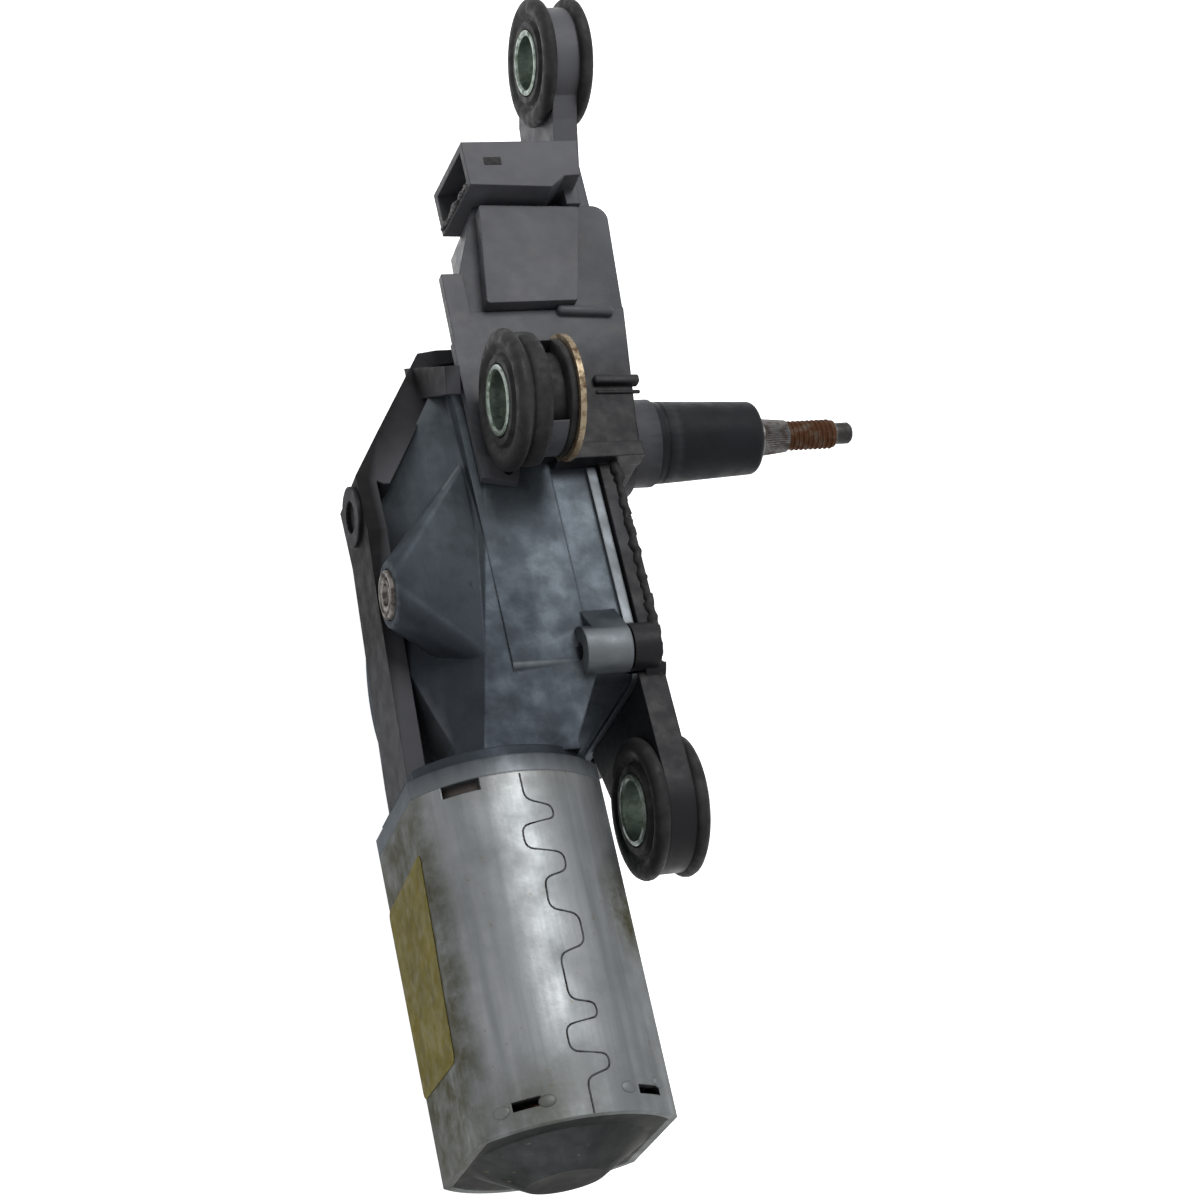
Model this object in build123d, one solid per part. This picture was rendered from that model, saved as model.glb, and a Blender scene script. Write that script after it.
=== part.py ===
from build123d import *
from math import acos, atan2, cos, degrees, hypot, pi, radians, sin, sqrt, tan
import os

# Rear wiper motor. X runs out along the wiper spindle, Y runs along the motor away from
# its closed end, Z points out of the side with the rounded can. Millimetres throughout.

# ---- driving dimensions ------------------------------------------------------------
# motor can: a rolled tube with two flats
MOTOR_X, MOTOR_Z = -23.6, -4.0    # armature axis, measured from the spindle axis
CAN_MOUTH = -72.0
CAN_END = -132.7
CAN_R = 21.5
CAN_FLAT = 17.25
CAN_WALL = 1.5
BOSS_TIP = -137.6

# armature
SHAFT_R = 3.0
CORE_R = 12.4
CORE_Y0, CORE_Y1 = -122.5, -92.5
CORE_SLOTS = 8
AIR_GAP = 0.7
COMM_R = 8.0
COMM_Y0, COMM_Y1 = -82.6, -70.6

# brush card, just inside the mouth of the can
CARD_Y0, CARD_Y1 = -75.0, -72.0

# worm and worm wheel
WHEEL_Y, WHEEL_Z = -33.0, -25.5
WHEEL_TEETH = 48
WHEEL_MODULE = 0.7
WHEEL_R = WHEEL_TEETH * WHEEL_MODULE / 2
WHEEL_W = 7.0
WORM_R = MOTOR_Z - WHEEL_Z - WHEEL_R
WORM_PITCH = pi * WHEEL_MODULE
CRANK_R = 7.8
WHEEL_HAND = 1                    # the sense of the teeth's twist that meshes with the worm

# output linkage: pinion on the spindle, toothed sector carried by a swinging link
GEAR_MODULE = 1.25
PINION_TEETH = 14
SECTOR_TEETH = 18
PRESSURE = radians(25)
PINION_R = GEAR_MODULE * PINION_TEETH / 2
SECTOR_R = GEAR_MODULE * SECTOR_TEETH / 2
LINK_LEN = PINION_R + SECTOR_R
TAIL_LEN = 33.0
SPINDLE_R = 4.0

# layers along X, from the back of the gearbox to its open front
FLOOR_OUT, FLOOR_IN = -29.4, -27.6
SHELF_OUT, SHELF_IN = -19.0, -16.4
SECTOR_X0, SECTOR_X1 = -15.2, -10.4
PINION_X0, PINION_X1 = -15.6, -9.8
LINK_X0, LINK_X1 = -8.8, -5.8
RIM_X = 4.6
SEAL_X = 5.0
PLATE_X = 7.4
SKIRT_X = 8.8
TOWER_X = 16.4
HOOD_Z = 13.5                     # inner face of the cover wall along the near side

# spindle bearing tube and its sleeve
TUBE_R = 6.3
TUBE_TOP = 39.6
SLEEVE_TOP = 43.5
SPINDLE_TIP = 64.1

# fixing points: (X of the near face, Y, Z)
TOP_FIX = (12.0, 81.9, 10.1)
MID_FIX = (-16.2, -5.3, 27.9)
LOW_FIX = (1.1, -75.0, 2.0)
GROMMET_R = 12.8
GROOVE_R = 8.2
BUSH_R = 6.45
BUSH_BORE = 5.3
FLANGE_T = 2.6
EAR_T = 5.0


# ---- small construction helpers ----------------------------------------------------
def cyl_x(r, x0, x1, y=0.0, z=0.0):
    return Pos((x0 + x1) / 2, y, z) * Rot(0, 90, 0) * Cylinder(r, x1 - x0)


def cyl_y(r, y0, y1, x=MOTOR_X, z=MOTOR_Z):
    return Pos(x, (y0 + y1) / 2, z) * Rot(90, 0, 0) * Cylinder(r, y1 - y0)


def cone_x(r0, r1, x0, x1, y=0.0, z=0.0):
    return Pos((x0 + x1) / 2, y, z) * Rot(0, 90, 0) * Cone(r0, r1, x1 - x0)


def block(x0, x1, y0, y1, z0, z1):
    z0, z1 = sorted((z0, z1))
    x0, x1 = sorted((x0, x1))
    return Pos((x0 + x1) / 2, (y0 + y1) / 2, (z0 + z1) / 2) * Box(x1 - x0, y1 - y0, z1 - z0)


def slab_x(points, x0, x1, r=0.0):
    """Outline in Y and Z, thickened along X."""
    face = Plane.YZ.offset(x0) * Polygon(*points, align=None)
    if r:
        face = fillet(face.vertices(), r)
    return extrude(face, amount=x1 - x0, dir=(1, 0, 0))


def slab_y(points, y0, y1, r=0.0):
    """Outline in X and Z, thickened along Y."""
    face = Plane.XZ.offset(-y1) * Polygon(*points, align=None)
    if r:
        face = fillet(face.vertices(), r)
    return extrude(face, amount=y1 - y0, dir=(0, -1, 0))


def slab_z(points, z0, z1, r=0.0):
    """Outline in X and Y, thickened along Z."""
    face = Plane.XY.offset(z0) * Polygon(*points, align=None)
    if r:
        face = fillet(face.vertices(), r)
    return extrude(face, amount=z1 - z0, dir=(0, 0, 1))


def hull_x(circles, x0, x1):
    """Belt outline stretched round circles (Y, Z, radius), thickened along X."""
    rings = [Pos(y, z) * Circle(r) for y, z, r in circles]
    outline = make_hull([ring.edges()[0] for ring in rings])
    return extrude(Plane.YZ.offset(x0) * outline, amount=x1 - x0)


def double_d(r, flat, y0, y1):
    """Round bar along the armature axis with a flat on each X side."""
    bar = cyl_y(r, y0, y1)
    return bar & block(MOTOR_X - flat, MOTOR_X + flat, y0 - 1, y1 + 1, MOTOR_Z - r - 1, MOTOR_Z + r + 1)


def ring_x(r_in, r_out, x0, x1, y=0.0, z=0.0):
    return cyl_x(r_out, x0, x1, y, z) - cyl_x(r_in, x0 - 1, x1 + 1, y, z)


def ring_y(r_in, r_out, y0, y1):
    return cyl_y(r_out, y0, y1) - cyl_y(r_in, y0 - 1, y1 + 1)


def polar(r, angle):
    return (r * cos(angle), r * sin(angle))


def tooth_flank(teeth, module, add, backlash, steps=4):
    """Half angle of an involute tooth at rising radii: list of (radius, half angle)."""
    pitch = teeth * module / 2
    base = pitch * cos(PRESSURE)
    half = pi / (2 * teeth) - backlash / (2 * pitch)
    inv_pitch = tan(PRESSURE) - PRESSURE
    flank = []
    for i in range(steps):
        radius = base + (pitch + add - base) * i / (steps - 1)
        alpha = acos(min(1.0, base / radius))
        flank.append((radius, half + inv_pitch - (tan(alpha) - alpha)))
    return flank


def gear_outline(teeth, module, centres, backlash=0.12, add=0.9, ded=1.15):
    """Points of the toothed edge for the tooth centre angles given, in order."""
    root = teeth * module / 2 - ded * module
    flank = tooth_flank(teeth, module, add * module, backlash)
    points = []
    for centre in centres:
        points.append(polar(root, centre - flank[0][1]))
        points += [polar(radius, centre - half) for radius, half in flank]
        points += [polar(radius, centre + half) for radius, half in reversed(flank)]
        points.append(polar(root, centre + flank[0][1]))
    return points


# ---- where the linkage stands at mid stroke ----------------------------------------
def linkage_pose():
    """Sector pivot and crank pin, in Y and Z, with the wiper half way across."""
    gap = hypot(WHEEL_Y, WHEEL_Z)
    to_wheel = atan2(WHEEL_Z, WHEEL_Y)
    lean = acos((LINK_LEN**2 + gap**2 - TAIL_LEN**2) / (2 * LINK_LEN * gap))
    pivot = polar(LINK_LEN, to_wheel + lean)
    back = atan2(pivot[1] - WHEEL_Z, pivot[0] - WHEEL_Y)
    swing = acos(CRANK_R / (2 * TAIL_LEN))
    crank = polar(CRANK_R, back - swing)
    return pivot, (WHEEL_Y + crank[0], WHEEL_Z + crank[1])


PIVOT, CRANK = linkage_pose()


# ---- motor -------------------------------------------------------------------------
def motor_can():
    tube = double_d(CAN_R, CAN_FLAT, CAN_END, CAN_MOUTH)
    tube -= double_d(CAN_R - CAN_WALL, CAN_FLAT - CAN_WALL, CAN_END - 1, CAN_MOUTH + 1)
    for side in (1, -1):
        z0, z1 = MOTOR_Z + side * 12, MOTOR_Z + side * 25
        # open notches in the mouth take the tongues of the gear housing
        tube -= block(-36.5, -30.5, CAN_MOUTH - 2.2, CAN_MOUTH + 1, z0, z1)
        # slots near the closed end, where the end plate is staked
        for x in (-33.5, -12.0):
            tube -= block(x - 2.2, x + 2.2, CAN_END + 3.0, CAN_END + 4.6, z0, z1)
    return tube


def end_plate():
    """Flat plate drawn out into a cone that holds the tail bearing."""
    plate = double_d(CAN_R - CAN_WALL - 0.05, CAN_FLAT - CAN_WALL - 0.05, CAN_END, CAN_END + 2)
    face = Plane.XZ.offset(-CAN_END - 0.1) * Pos(MOTOR_X, MOTOR_Z) * Circle(15.4)
    tip = Plane.XZ.offset(-BOSS_TIP) * Pos(MOTOR_X, MOTOR_Z) * Circle(6.9)
    return plate + loft([face, tip]) - cyl_y(5.6, BOSS_TIP + 1.6, CAN_END + 3)


def end_bush():
    bush = cyl_y(5.5, -135.8, -130.0)
    bush = fillet(bush.edges().filter_by(GeomType.CIRCLE), 1.2)
    return bush - cyl_y(SHAFT_R + 0.05, -137, -129)


def bush_clip():
    return ring_y(3.9, 5.55, -129.9, -129.1)


def magnet(side):
    y0, y1 = CORE_Y0 - 4.5, CORE_Y1 + 2.5
    half = CAN_FLAT - CAN_WALL - 2.55
    shell = ring_y(CORE_R + AIR_GAP, CAN_R - CAN_WALL - 0.1, y0, y1)
    return shell & block(MOTOR_X - half, MOTOR_X + half, y0 - 1, y1 + 1, MOTOR_Z + 4 * side,
                         MOTOR_Z + (CAN_R + 1) * side)


def magnet_clips():
    """One bent spring strip on each flat, pushing the two magnets apart."""
    clips = []
    for side in (1, -1):
        x = MOTOR_X + side * (CAN_FLAT - CAN_WALL - 0.05)
        web = block(x, x - side * 0.8, CORE_Y0 - 1.5, CORE_Y1 - 0.5, MOTOR_Z - 3.4, MOTOR_Z + 3.4)
        clips.append(web)
    return clips


def worm_thread():
    """Right-hand thread of trapezoid section, swept round the worm core."""
    length = 30.0
    start = WHEEL_Y + WORM_PITCH / 4 - 7 * WORM_PITCH
    root = WORM_R - 0.95 * WHEEL_MODULE - 0.3
    tip = WORM_R + 0.85 * WHEEL_MODULE
    half_root = WORM_PITCH / 4 + 0.95 * WHEEL_MODULE * tan(radians(20)) - 0.03
    half_tip = WORM_PITCH / 4 - 0.85 * WHEEL_MODULE * tan(radians(20)) - 0.09
    path = Helix(WORM_PITCH, WORM_PITCH * 13, root)
    corner = Plane(origin=path @ 0, x_dir=(1, 0, 0), z_dir=path % 0)
    section = corner * Polygon(
        (0, -half_root), (tip - root, -half_tip), (tip - root, half_tip), (0, half_root), align=None)
    thread = sweep(section, path=path, is_frenet=True)
    return Pos(MOTOR_X, start, MOTOR_Z) * Rot(-90, 0, 0) * thread


def armature_shaft():
    shaft = cyl_y(SHAFT_R, -135.6, -49.0)
    shaft += cyl_y(WORM_R - 0.95 * WHEEL_MODULE, -52.0, -17.5)
    shaft += cyl_y(2.5, -18.0, -8.6)
    return shaft + worm_thread()


def lamination_core():
    core = cyl_y(CORE_R, CORE_Y0, CORE_Y1) - cyl_y(SHAFT_R, CORE_Y0 - 1, CORE_Y1 + 1)
    for i in range(CORE_SLOTS):
        core -= slot_window(i, 0.0, CORE_Y0 - 1, CORE_Y1 + 1)
    return core


def slot_window(i, shrink, y0, y1):
    """Pocket between two armature teeth, with a narrow mouth at the rim."""
    inner, outer = SHAFT_R + 3.6 + shrink, CORE_R - 1.4 - shrink
    wide, slim = 3.0 - shrink, 1.2 - shrink
    pocket = slab_y([(inner, -slim), (outer, -wide), (outer, wide), (inner, slim)], y0, y1)
    if not shrink:
        pocket += block(outer - 1, CORE_R + 1, y0, y1, -0.9, 0.9)
    return Pos(MOTOR_X, 0, MOTOR_Z) * Rot(0, 360 / CORE_SLOTS * (i + 0.5), 0) * pocket


def armature_windings():
    bore, rim = SHAFT_R + 1.6, CORE_R - 1.2
    coils = ring_y(bore, rim, CORE_Y0 - 5.5, CORE_Y0 - 0.1)
    coils += ring_y(bore, rim, CORE_Y1 + 0.1, CORE_Y1 + 6.0)
    for i in range(CORE_SLOTS):
        coils += slot_window(i, 0.15, CORE_Y0 - 1, CORE_Y1 + 1)
    return coils


def commutator_hub():
    return ring_y(SHAFT_R, COMM_R - 2.1, COMM_Y0 - 2.5, COMM_Y1 - 0.4)


def commutator_bars():
    ring = ring_y(COMM_R - 2.0, COMM_R, COMM_Y0, COMM_Y1)
    ring += ring_y(COMM_R - 2.0, COMM_R + 1.4, COMM_Y0, COMM_Y0 + 2.0)
    for i in range(CORE_SLOTS):
        slit = block(0, 12, COMM_Y0 - 1, COMM_Y1 + 1, -0.3, 0.3)
        ring -= Pos(MOTOR_X, 0, MOTOR_Z) * Rot(0, 360 / CORE_SLOTS * i, 0) * slit
    return ring.solids()


def brush_card():
    card = double_d(CAN_R - CAN_WALL - 0.1, CAN_FLAT - CAN_WALL - 0.1, CARD_Y0, CARD_Y1)
    return card - cyl_y(COMM_R + 1.6, CARD_Y0 - 1, CARD_Y1 + 1)


def brush_boxes():
    """Folded brass guides, one each side of the commutator."""
    boxes = []
    for side in (1, -1):
        z0, z1 = MOTOR_Z + side * (COMM_R + 1.9), MOTOR_Z + side * (COMM_R + 7.5)
        guide = block(MOTOR_X - 3.0, MOTOR_X + 3.0, CARD_Y0 - 6.2, CARD_Y0, z0, z1)
        guide -= block(MOTOR_X - 2.3, MOTOR_X + 2.3, CARD_Y0 - 5.5, CARD_Y0 - 0.5, z0 - side, z1 + side)
        boxes.append(guide)
    return boxes


def carbon_brush(side):
    z0, z1 = MOTOR_Z + side * (COMM_R + 0.3), MOTOR_Z + side * (COMM_R + 6.6)
    return block(MOTOR_X - 2.2, MOTOR_X + 2.2, CARD_Y0 - 5.4, CARD_Y0 - 0.6, z0, z1)


def brush_springs():
    """Flat strip springs bearing on the back of each brush."""
    springs = []
    for side in (1, -1):
        back, foot = MOTOR_Z + side * (COMM_R + 7.6), MOTOR_Z + side * (COMM_R + 3.0)
        strip = block(MOTOR_X - 7.5, MOTOR_X + 1.6, CARD_Y0 - 4.0, CARD_Y0 - 1.8, back, back + side * 0.5)
        strip += block(MOTOR_X - 8.0, MOTOR_X - 7.5, CARD_Y0 - 4.0, CARD_Y0, foot, back + side * 0.5)
        springs.append(strip)
    return springs


def chokes():
    """Two interference coils lying on the brush card."""
    return [cyl_y(2.6, CARD_Y0 - 8.6, CARD_Y0, MOTOR_X + 12.0, MOTOR_Z + 7.5 * side) for side in (1, -1)]


# ---- gear housing ------------------------------------------------------------------
# circles (Y, Z, radius) that the outline is stretched round: worm wheel, spindle, sector at
# the end of its swing, near corner
WHEEL_ROOM = WHEEL_R + 1.8
DRUM_R = WHEEL_ROOM + 2.3
CHAMBER = [(WHEEL_Y, WHEEL_Z, DRUM_R), (0, 0, 12.8), (5.4, -15, 13.9), (-49.5, 9.2, 4.2)]
CAVITY = [(WHEEL_Y, WHEEL_Z, WHEEL_ROOM), (0, 0, 10.8), (5.4, -15, 12.3)]
# cover screws: Y, Z and the height at which the cover sits on the lug
NEAR_LUG = (-49.0, 14.2, 2.0)
LUGS = [NEAR_LUG, (10.8, -29.8, RIM_X), (-50.0, -41.0, RIM_X), (12.1, 7.6, RIM_X)]
SCREW_SEAT = PLATE_X - RIM_X      # from a lug's face to the underside of its screw's head
SCREW_BOSS = (-33.7, 10.8)
BOX_Y0, BOX_Y1 = 19.6, 44.6


def grown(circles, extra):
    return [(y, z, r + extra) for y, z, r in circles]


def above_box(x0, x1):
    """Room that the electronics box takes away from the round end of the chamber."""
    return block(x0, x1, BOX_Y0 - 0.3, BOX_Y0 + 20, -60, 40)


def tunnel_block():
    """Worm tunnel, with a shoulder that twists from narrow at the top to wide at the can."""
    top = [(-4, -19), (-4, 13.4), (-11.5, 13.4), (-34.5, -2), (-34.5, -15), (-31, -19)]
    foot = [(-4, -19), (-4, 13.4), (-27.5, 12.6), (-34.5, 4), (-34.5, -15), (-31, -19)]
    ends = []
    for y, points in ((11.0, top), (-67.0, foot)):
        ends.append(Plane.XZ.offset(-y) * Polygon(*points, align=None))
    body = loft(ends, ruled=True)
    # the back leans away toward the box at one end and in toward the can at the other
    body -= slab_z([(-45, -12), (-34.5, -12), (SHELF_OUT, 12.4), (SHELF_OUT, 30), (-45, 30)], -30, 30)
    body -= slab_z([(-45, -45), (-34.5, -45), (-31, -62), (-31, -70), (-45, -70)], -30, 30)
    # the front corner is cut off below the chamber
    return body - slab_z([(0, -53), (-4, -53), (-10, -65), (-10, -70), (0, -70)], -30, 30)


def gear_housing():
    body = hull_x(CHAMBER, SHELF_OUT, RIM_X)
    rim = hull_x(grown(CHAMBER, 1.0), RIM_X - 1.8, RIM_X)
    body += rim - block(0, 10, -12.2, 20, HOOD_Z, 20)
    body -= above_box(SHELF_OUT - 1, RIM_X + 1)
    body += wheel_drum()
    body += tunnel_block()
    body += housing_nose()
    body += screw_boss()
    for y, z, seat in LUGS:
        body += cyl_x(4.4, -6.5, seat, y, z)
    body += near_rib()
    y, z, seat = NEAR_LUG
    body -= cyl_x(4.7, seat, RIM_X + 1, y, z)
    body -= hull_x(CAVITY, SHELF_IN, RIM_X + 1)
    body -= cyl_x(WHEEL_ROOM - 0.3, FLOOR_IN, SHELF_IN + 1, WHEEL_Y, WHEEL_Z)
    body += cyl_x(6.0, FLOOR_OUT - 1.4, FLOOR_IN, WHEEL_Y, WHEEL_Z)
    body -= cyl_x(3.0, FLOOR_OUT - 0.4, 0, WHEEL_Y, WHEEL_Z)
    body -= motor_bores()
    for y, z, seat in LUGS:
        body -= cyl_x(1.6, -6.6, RIM_X + 1, y, z)
    body -= cyl_x(4.6, -39, -36.7, *SCREW_BOSS)
    body -= cyl_x(1.9, -39, -23.0, *SCREW_BOSS)
    body -= cyl_x(12.25, 2.3, RIM_X + 1)
    body -= lead_envelope() + lead_bar()
    # slot in the flange for the leads
    body -= block(-36.6, -34.4, CAN_MOUTH - 1, -60, -16.5, 0.5)
    return body


def wheel_drum():
    """Round drum over the worm wheel, its back edge drawn in by the casting's taper."""
    drum = cyl_x(DRUM_R, FLOOR_OUT + 3, SHELF_OUT + 1, WHEEL_Y, WHEEL_Z)
    return drum + cone_x(DRUM_R - 2.8, DRUM_R, FLOOR_OUT, FLOOR_OUT + 3, WHEEL_Y, WHEEL_Z)


def near_rib():
    """Web with a sloping top that runs from the near wall up to the near lug."""
    y, z, seat = NEAR_LUG
    return hull_x([(y, z, 4.4), (y + 8.5, z - 6.2, 4.0)], -4.6, seat)


def motor_bores():
    """Stepped bore for the armature: mouth, two bush seats and the worm between them."""
    bores = cyl_y(12.5, CAN_MOUTH - 1, -67.5) + cyl_y(6.0, -68, -59.0)
    return bores + cyl_y(6.3, -60, -13.6) + cyl_y(4.5, -14, -6.6)


def housing_nose():
    """Stepped flange that closes the mouth of the can."""
    nose = double_d(20.0, 15.8, -68.8, -66.4)
    return nose + double_d(CAN_R, CAN_FLAT, CAN_MOUTH, -68.7)


def screw_boss():
    """Round boss for the rear screw on a four-sided pyramid that grows out of the wall."""
    y, z = SCREW_BOSS
    small = Plane.YZ.offset(-38.0) * Pos(y, z) * RectangleRounded(11.6, 11.6, 5.7)
    big = Plane.YZ.offset(-20.0) * Pos(y + 4.2, 6.4) * RectangleRounded(43, 11.2, 2)
    return loft([small, big], ruled=True)


def rear_screw():
    y, z = SCREW_BOSS
    screw = cyl_x(4.4, -38.7, -36.7, y, z) + cyl_x(1.85, -37, -24.0, y, z)
    return screw - cyl_x(2.2, -39, -37.8, y, z)


def mid_bush():
    return ring_y(SHAFT_R + 0.05, 5.98, -66.0, -60.0)


def worm_end_bush():
    return ring_y(2.55, 4.48, -13.4, -9.2)


def thrust_pad():
    return cyl_y(4.4, -8.5, -6.7)


# ---- worm wheel and linkage --------------------------------------------------------
def worm_wheel():
    mid = radians(90)
    lead = atan2(WORM_PITCH, 2 * pi * WORM_R)
    centres = [mid + 2 * pi * i / WHEEL_TEETH for i in range(WHEEL_TEETH)]
    points = gear_outline(WHEEL_TEETH, WHEEL_MODULE, centres, 0.14, 0.8, 1.1)
    twist = degrees(WHEEL_W / 2 * tan(lead) / WHEEL_R)
    faces = []
    for end in (-1, 1):
        outline = Plane.YZ.offset(MOTOR_X + end * WHEEL_W / 2)
        faces.append(outline * Rot(0, 0, end * twist * WHEEL_HAND) * Polygon(*points, align=None))
    rim = Pos(0, WHEEL_Y, WHEEL_Z) * loft(faces, ruled=True)
    x0, x1 = MOTOR_X - WHEEL_W / 2, MOTOR_X + WHEEL_W / 2
    rim -= ring_x(5.5, 14.0, x0 - 1, x0 + 2.5, WHEEL_Y, WHEEL_Z)
    rim -= cyl_x(3.05, x0 - 1, x1 + 1, WHEEL_Y, WHEEL_Z)
    rim += cyl_x(3.4, x1 - 0.5, x1 + 1.2, *CRANK)
    return rim - cyl_x(2.5, x0 + 3.2, x1 + 2, *CRANK)


def wheel_pin():
    top = MOTOR_X + WHEEL_W / 2
    pin = cyl_x(2.98, FLOOR_OUT - 0.4, top + 1.6, WHEEL_Y, WHEEL_Z)
    return pin - ring_x(2.3, 4.0, top + 0.3, top + 0.9, WHEEL_Y, WHEEL_Z)


def wheel_clip():
    top = MOTOR_X + WHEEL_W / 2
    clip = ring_x(2.35, 4.2, top + 0.35, top + 0.85, WHEEL_Y, WHEEL_Z)
    return clip - block(top, top + 2, WHEEL_Y - 1.6, WHEEL_Y + 1.6, WHEEL_Z, WHEEL_Z + 6)


def crank_pin():
    return cyl_x(2.48, MOTOR_X - WHEEL_W / 2 + 3.3, SECTOR_X0 - 0.3, *CRANK)


def contact_ring():
    """Copper parking track let into the back of the worm wheel."""
    x0 = MOTOR_X - WHEEL_W / 2
    ring = ring_x(8.0, 12.5, x0 + 2.0, x0 + 2.5, WHEEL_Y, WHEEL_Z)
    return ring - block(x0, x0 + 4, WHEEL_Y - 2.5, WHEEL_Y + 2.5, WHEEL_Z + 5, WHEEL_Z + 14)


def output_pinion():
    """Pinion with a tooth gap facing the sector pivot at mid stroke."""
    toward = atan2(PIVOT[1], PIVOT[0])
    step = 2 * pi / PINION_TEETH
    centres = [toward + step * (i + 0.5) for i in range(PINION_TEETH)]
    points = gear_outline(PINION_TEETH, GEAR_MODULE, centres)
    gear = slab_x(points, PINION_X0, PINION_X1)
    return gear - cyl_x(SPINDLE_R + 0.02, -20, 0)


def sector_gear():
    """Five teeth on one side of the pivot, a long tail to the crank pin on the other."""
    facing = atan2(-PIVOT[1], -PIVOT[0])
    step = 2 * pi / SECTOR_TEETH
    centres = [facing + step * i for i in range(-2, 3)]
    points = gear_outline(SECTOR_TEETH, GEAR_MODULE, centres)
    points = points + [(0, 0)]
    teeth = Pos(0, *PIVOT) * slab_x(points, SECTOR_X0, SECTOR_X1)
    body = teeth + cyl_x(6.0, SECTOR_X0, SECTOR_X1, *PIVOT)
    body += hull_x([(*PIVOT, 4.6), (*CRANK, 3.4)], SECTOR_X0, SECTOR_X1)
    body += cyl_x(4.5, SECTOR_X0, SECTOR_X1, *CRANK)
    body -= cyl_x(3.05, -20, 0, *PIVOT)
    return body - cyl_x(2.55, -20, 0, *CRANK)


def sector_pin():
    pin = cyl_x(3.0, SECTOR_X0 - 0.2, LINK_X1 + 0.2, *PIVOT)
    pin += cyl_x(4.4, SECTOR_X0 - 0.9, SECTOR_X0 - 0.1, *PIVOT)
    return pin + cyl_x(4.0, LINK_X1, LINK_X1 + 0.8, *PIVOT)


def swing_link():
    plate = hull_x([(0, 0, 7.6), (*PIVOT, 6.0)], LINK_X0, LINK_X1)
    plate -= cyl_x(SPINDLE_R + 0.08, -20, 0)
    return plate - cyl_x(3.02, -20, 0, *PIVOT)


def link_spacer():
    return ring_x(SPINDLE_R + 0.02, 6.2, PINION_X1 + 0.05, LINK_X0 - 0.05)


def link_washer():
    return ring_x(SPINDLE_R + 0.1, 7.0, LINK_X1 + 0.05, LINK_X1 + 0.95)


# ---- spindle and its bearing -------------------------------------------------------
def output_spindle():
    """Spindle with a knurled taper for the wiper arm and a threaded end (left plain)."""
    top = SLEEVE_TOP
    shaft = cyl_x(SPINDLE_R, PINION_X0 - 0.2, top + 0.6)
    shaft -= ring_x(3.4, 5.0, TUBE_TOP + 1.0, TUBE_TOP + 1.8)
    shaft += cone_x(3.75, 3.15, top + 0.6, top + 7.0)
    shaft += cyl_x(2.9, top + 7.0, top + 17.0)
    shaft += cyl_x(2.1, top + 17.0, SPINDLE_TIP)
    return chamfer(shaft.faces().sort_by(Axis.X)[-1].edges(), 0.5)


def bearing_tube():
    tube = cyl_x(8.0, -3.9, 2.4) + cyl_x(12.2, 2.4, RIM_X) + cyl_x(TUBE_R, RIM_X, TUBE_TOP)
    return tube - cyl_x(5.0, -5, 50)


def spindle_bush(x0, x1):
    return ring_x(SPINDLE_R + 0.05, 4.98, x0, x1)


def spindle_washer():
    return ring_x(SPINDLE_R + 0.1, 6.1, TUBE_TOP + 0.05, TUBE_TOP + 0.9)


def spindle_clip():
    clip = ring_x(3.45, 5.6, TUBE_TOP + 1.05, TUBE_TOP + 1.75)
    return clip - block(TUBE_TOP, TUBE_TOP + 3, -1.8, 1.8, 0, 7)


def spindle_sleeve():
    body = cone_x(8.2, 7.0, TOWER_X, SLEEVE_TOP) + cyl_x(8.4, TOWER_X, TOWER_X + 5.4)
    body = fillet(body.faces().sort_by(Axis.X)[-1].edges(), 1.2)
    body -= ring_x(7.8, 10, TOWER_X + 6.6, TOWER_X + 7.4)
    body -= cyl_x(TUBE_R + 0.1, 10, TUBE_TOP + 2.2)
    return body - cyl_x(SPINDLE_R + 0.35, 40, 50)


# ---- front cover: one moulding with box, connector and three ears ------------------
PLATE = grown(CHAMBER, 2.0)


def front_cover():
    body = hull_x(PLATE, SEAL_X, PLATE_X)
    bead = hull_x(PLATE, PLATE_X - 0.1, SKIRT_X)
    body += bead - hull_x(grown(PLATE, -1.8), PLATE_X - 1, SKIRT_X + 1)
    body -= above_box(SEAL_X - 1, SKIRT_X + 1)
    body += tower()
    body += electronics_box()
    body += hood()
    body += connector_shell()
    body += top_ear()
    body -= mid_clearance()
    body += mid_ear()
    body += low_ear()
    body += cover_ribs()
    body -= cyl_x(TUBE_R + 0.05, 0, 30)
    for y, z, seat in LUGS:
        body += cyl_x(4.3, seat + SEAL_X - RIM_X, PLATE_X, y, z)
        body -= cyl_x(2.0, 0, 30, y, z)
        body -= cyl_x(3.5, seat + SCREW_SEAT, 30, y, z)
    body -= lead_envelope()
    for piece in connector_pins() + lead_strips():
        body -= piece
    return body


def tower():
    """Block on the front of the plate that the spindle sleeve stands on."""
    wedge = slab_z([(PLATE_X - 1, -11.6), (13.2, -11.6), (16.2, 16), (16.6, 21), (PLATE_X - 1, 21)],
                   -12.3, 13.4)
    return wedge + cyl_x(10.2, PLATE_X, TOWER_X)


def box_section(grow, y0, y1):
    """Cross-section of the electronics box: its back leans in toward the far side."""
    g = grow
    return slab_y([(-12.2 - g, 13.0 + g), (-2.4 - g, -12.4 - g), (17.6 + g, -12.4 - g),
                   (17.6 + g, 13.0 + g)], y0, y1)


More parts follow.
